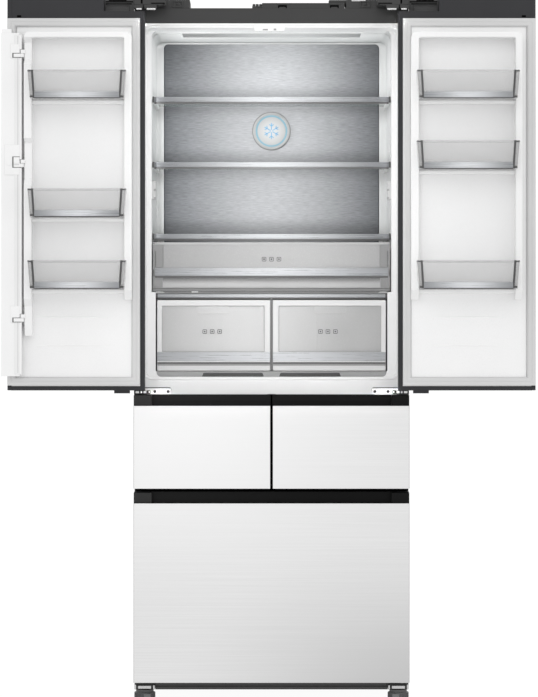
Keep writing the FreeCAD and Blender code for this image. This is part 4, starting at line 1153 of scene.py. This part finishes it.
for x0, x1, z0, z1 in ((-26, 200, 1895.9, 1901.8), (-26, 18, 1886.2, 1897), (42, 160, 1886.2, 1897),
                       (184, 200, 1886.2, 1897)):
    cover_forms.append(block(x0, x1, -187.8, -183, z0, z1))
cover_forms.append(block(-26, 200, -184, -38.2, 1886.1, 1901.8, 1.6, 3))
for x0, x1 in ((14, 46), (156, 188)):
    cover_forms.append(block(x0, x1, -189.4, -186, 1897.4, 1901))
    cover_forms.append(block(x0 + 7, x1 - 7, -187, -183.6, 1886.4, 1891.4, 0.5))
    cover_lines.append(block(x0 + 4.2, x1 - 4.2, -186.4, -183, 1886.4, 1895.8, 0.4))
cover_forms.append(block(157, 206, -176, -84, 1900, COVER_TOP, 2.4, 3))
piece("top_cover_shells", cover_forms, "cabinet", COVER_DARK, "top_covers")
piece("top_cover_gaps", cover_lines, "cabinet", GAP_BLACK)
piece("hinge_bright_bits", bright_bits, "cabinet", CLIP_STEEL)
button = block(219, 258, -191.4, -186.4, 1906, 1911.4, 2.2, 4)
piece("cover_button", [button], "cabinet", BUTTON_GREY)
tooth = [(3.9, -0.4), (3.9, 5), (3, 7), (4.1, 9), (4.1, 12), (2.6, 13.6), (0, 14)]
comb = [turned(tooth, (0, 0, 0), "z", 20), block(-4.8, 4.8, -4, 4, -0.4, 8, 1.4, 3)]
comb_spots = [(x, -178, 1886.2, 0, 0, 0) for x in (-48, -39, -30)]
repeated("cable_comb", comb, comb_spots, COVER_DARK, "cabinet", "dark_plastic")
section = eased([(-188.8, 1846.2, 0.8), (-188.8, 1887.6, 1), (-186.4, 1887.6, 0.6), (-186.4, 1846.2, 0.4)], 3)
piece("top_band", [prism(section, "x", -374.8, 374.8, 0.6)], "cabinet", BAND_DARK, "top_trim")

# Lower hinges
hinge_plate_shadows, arm_covers, plates_and_highlights = [], [], []
for side in SIDES:
    # A dark plate a little larger than each hinge plate, behind it: painted shadow round the plate
    corners = [(side * 274, 838, 2), (side * 352, 838, 1), (side * 352, 850, 1), (side * 274, 850, 9)]
    hinge_plate_shadows.append(prism(eased(corners, 6), "y", -188.9, -187.6, 0.4))
    corners = [(side * 274.4, 830, 8), (side * 350, 830, 1), (side * 350, 847.2, 1), (side * 274.4, 847.2, 8)]
    plates_and_highlights.append(prism(eased(corners, 6), "y", -191, -188.8, 0.5))
    arm_covers += [side_block(side, 339.6, 374.4, -240.4, -191.2, 831.6, 837.5),
                   side_block(side, 339.6, 374.4, -239.4, -236, 831.6, 841.8),
                   side_block(side, 331, 341, -193.6, -190.6, 831.6, 842)]
    # White bits on the black arm covers: painted highlights on the arms
    plates_and_highlights.append(side_block(side, 332.6, 336, -194.4, -193, 834.4, 840, 0.5))
    for a0, a1 in ((360.6, 370), (352.2, 356.4), (340.8, 348.4)):
        plates_and_highlights.append(side_block(side, a0, a1, -241.6, -238, 834.4, 840.2, 0.6))
piece("lower_hinge_pads", hinge_plate_shadows, "cabinet", POST_DARK)
piece("lower_hinge_plates", plates_and_highlights, "cabinet", HINGE_WHITE)
piece("lower_arm_covers", arm_covers, "cabinet", BLACK_PART)

# Feet and base
FOOT_OUT, FOOT_Y = 346, -204
foot_profile = [(24, 0.2), (28.2, 0.4), (28.8, 1.6), (28.8, 3), (27.6, 3.6), (27.6, 15.4), (28.8, 16),
                (28.8, 17.6), (27.4, 18.8), (24.4, 19), (24, 19.6), (24, 25.4), (5, 25.5), (5, 39.8), (0, 40)]
knurl = {"Count": 44, "Radius": 0.0274, "Rib": (0.0026, 0.0016, 0.0116), "Finish": FOOT_DARK}
for name, side in SIDE_OF.items():
    body, label, x = name + "_foot", "foot_%s_" % name, side * FOOT_OUT
    pad = turned(foot_profile, (x, FOOT_Y, 0), "z", 56)
    piece(label + "pad", [pad], body, FOOT_DARK, "foot_" + name)
    carrier = bpy.data.meshes.new("knurl")
    repeat(label + "knurl", carrier, RIB_TREE, body, "foot_plastic", shift=(x, FOOT_Y, 9.5), **knurl)
    key = side_block(side, 329, 348, -233.8, -226, 5, 15, 1)
    piece(label + "key", [key], body, SMOKE)
    # A dark plate over the base tab: painted shadow under the bottom drawer
    plate = side_block(side, 317.6, 373.6, -224, -221.6, 26.4, 43.6, 1.2)
    piece(label + "mount", [plate], "cabinet", BLACK_PART)
    bracket = [side_block(side, 328, 364, -226.4, -223.6, 28.6, 36.8, 1),
               side_block(side, 369, 373, -225.6, -223.6, 27, 40),
               side_block(side, 318.4, 323, -225.6, -223.6, 27, 38)]
    piece(label + "bracket", bracket, "cabinet", CLIP_STEEL)
piece("base_lip", [block(-316, 316, -221.8, -218, 26.2, 29.4, 1)], "cabinet", LIP_GREY)


# Screws and back
def screw_head(radius, height):
    """A pan head with a round recess, on its point, facing up."""
    profile = [(0, 0.55), (0.25, 0.55), (0.34, 0.98), (0.72, 0.9), (0.94, 0.55)]
    head = [(r * radius, h * height) for r, h in profile] + [(radius, 0.15), (radius, -0.6), (0, -0.6)]
    return [turned(head, (0, 0, 0), "z", 20)]


screws = [(s * a, -191.2, 838.5, 90, 0, 0) for s in SIDES for a in (283, 319)]
screws += [(s * 257, -188.2, 1899, 90, 0, 0) for s in SIDES]
top_places = ((307, -163), (355, -163), (331, -113))
screws += [(s * a, y, 1890, 0, 0, 0) for s in SIDES for a, y in top_places]
repeated("hinge_screw_heads", screw_head(4.2, 2), screws, SCREW, "cabinet", "screw_steel", "hinge_screws")


def box_of(node):
    """A node's bounds in millimetres, as (low, high) for each axis."""
    points = [v.co * 1000 for v in nodes[node].data.vertices]
    return [(min(p[k] for p in points), max(p[k] for p in points)) for k in range(3)]


(rear_x0, rear_x1), (rear_y0, rear_y1), (rear_z0, rear_z1) = box_of("rear_panel")
sheet_out, field_out = rear_y1 - 0.8, rear_y1 - 0.05
field_gap, screw_edge = 26, 14
back_forms = [block(rear_x0, rear_x1, rear_y0, sheet_out, rear_z0, rear_z1, 0.2)]
field_rise = (rear_z1 - rear_z0 - 4 * field_gap) / 3
for side in SIDES:
    x0, x1 = sided(side, field_gap / 2, rear_x1 - field_gap * 1.6)
    for k in range(3):
        z0 = rear_z0 + field_gap + k * (field_rise + field_gap)
        field = oblong(x0, x1, z0, z0 + field_rise, 16)
        back_forms.append(prism(field, "y", sheet_out - 0.3, field_out, 0.6))
piece("rear_sheet", back_forms, "cabinet", ZINC, "rear_panel")
rows = [rear_z0 + screw_edge + (rear_z1 - rear_z0 - 2 * screw_edge) * k / 6 for k in range(7)]
screws = [(s * (rear_x1 - screw_edge), sheet_out, z, -90, 0, 0) for s in SIDES for z in rows]
repeated("rear_screw_heads", screw_head(4, 0.75), screws, SCREW, "cabinet", "screw_steel")
section = [(3.4, -6), (5.9, -6), (5.9, -0.1), (4, -0.1), (3.4, -0.8)]
LEAD_X, LEAD_Z = -335, 55
bush = turned([(r, rear_y1 + y) for r, y in section], (LEAD_X, 0, LEAD_Z), "y", 32, ring=True)
piece("lead_bush", [bush], "cabinet", BLACK_PART)

# Camera, in metres from here on
PHOTO_HEIGHT = 697
camera_data = bpy.data.cameras.new("camera")
camera_data.lens = 180.6
camera_data.sensor_width = 36.0
camera_data.clip_end = 60.0
camera_data.shift_x = -2.5 / PHOTO_HEIGHT
camera_data.shift_y = 1.5 / PHOTO_HEIGHT
camera = linked("camera", camera_data)
camera.location = (0.0, -9.758, 0.952)
camera.rotation_euler = (math.radians(90), 0.0, 0.0)
scene.camera = camera
scene.view_settings.view_transform = "Standard"

# World: white, a little brighter to the camera than to the object
WHITE = (1.0, 1.0, 1.0, 1.0)
AIR_LIGHT, AIR_SEEN = 0.86, 1.05
world = bpy.data.worlds.new("studio")
world.use_nodes = True
scene.world = world
sky = world.node_tree
sky.nodes.clear()
ray = add_node(sky, "ShaderNodeLightPath", {})
air = add_node(sky, "ShaderNodeBackground", {"Color": WHITE, "Strength": AIR_LIGHT})
seen_air = add_node(sky, "ShaderNodeBackground", {"Color": WHITE, "Strength": AIR_SEEN})
feeds = {0: ray.outputs["Is Camera Ray"], 1: air.outputs[0], 2: seen_air.outputs[0]}
which = add_node(sky, "ShaderNodeMixShader", feeds)
add_node(sky, "ShaderNodeOutputWorld", {"Surface": which.outputs[0]})

FLOOR_CAST = (0.74, 0.74, 0.74, 1.0)
FLOOR_SEEN = (0.93, 0.93, 0.93, 1.0)
FLOOR_REACH, FLOOR_Z = 40.0, -0.001


def pale_floor():
    """A plain white floor that takes a faint shadow."""
    mesh = bpy.data.meshes.new("floor")
    square = ((-1, -1), (1, -1), (1, 1), (-1, 1))
    corners = [(x * FLOOR_REACH, y * FLOOR_REACH, FLOOR_Z) for x, y in square]
    mesh.from_pydata(corners, [], [(0, 1, 2, 3)])
    made = Finish("floor_white", Roughness=0.9, Specular_IOR_Level=0.0, Emission_Strength=1.0)
    grain = made.group(GRAIN, Scale=3.0, Drift=0.5)
    made.feed("Base Color", made.mix(made.ranged(grain["Tone"]), colour(96), colour(100)))
    seen = add_node(made.tree, "ShaderNodeLightPath", {}).outputs["Is Camera Ray"]
    made.feed("Emission Color", made.mix(seen, FLOOR_CAST, FLOOR_SEEN))
    mesh.materials.append(made.material)
    linked("floor", mesh)


pale_floor()


# Lights
def soft_light(name, place, aim, size, power, spread=180.0, seen=False):
    """A soft rectangle of light from place towards aim, which the camera and gloss may see."""
    data = bpy.data.lights.new(name, "AREA")
    data.spread = math.radians(spread)
    data.shape = "RECTANGLE"
    data.size, data.size_y = size
    data.energy = power
    lamp = linked(name, data)
    lamp.location = place
    lamp.rotation_euler = (Vector(aim) - Vector(place)).to_track_quat("-Z", "Y").to_euler()
    lamp.visible_camera = seen
    lamp.visible_glossy = seen


soft_light("front_soft", (-1.2, -5.0, 4.2), (0.0, 0.0, 1.0), (4.0, 3.0), 37.0, seen=True)
soft_light("right_soft", (3.6, -3.0, 2.6), (0.0, 0.0, 1.0), (2.5, 3.0), 7.5, seen=True)
soft_light("cavity_fill", (0.0, -1.5, 1.42), (0.0, 0.0, 1.42), (0.6, 0.8), 0.5, 36.0)
soft_light("cavity_lamp", (0.0, 0.03, 1.822), (0.0, 0.031, 0.0), (0.48, 0.09), 0.8)
soft_light("ceiling_fill", (0.0, 0.02, 1.68), (0.0, 0.021, 1.83), (0.52, 0.24), 0.07)
soft_light("sill_fill", (0.0, -0.95, 0.90), (0.0, -0.19, 0.842), (0.68, 0.03), 0.024, 14.0)
soft_light("wall_fill", (-0.30, -0.15, 1.50), (0.331, -0.01, 1.50), (0.04, 0.45), 0.045, 10.0)
for side, power in ((-1, 2.25), (1, 1.05)):
    end, wall, corner, hinge = "_%d" % (side + 1), side * 0.318, side * 0.338, side * 0.314
    soft_light("cavity_side" + end, (wall, 0.05, 1.504), (0.0, 0.05, 1.504), (0.30, 0.482), power)
    soft_light("corner_fill" + end, (corner, -0.60, 1.848), (corner, -0.19, 1.848), (0.05, 0.03), 0.0026, 6.0)
    soft_light("hinge_fill" + end, (hinge, -0.60, 0.862), (hinge, -0.19, 0.837), (0.07, 0.006), 0.006, 3.0)
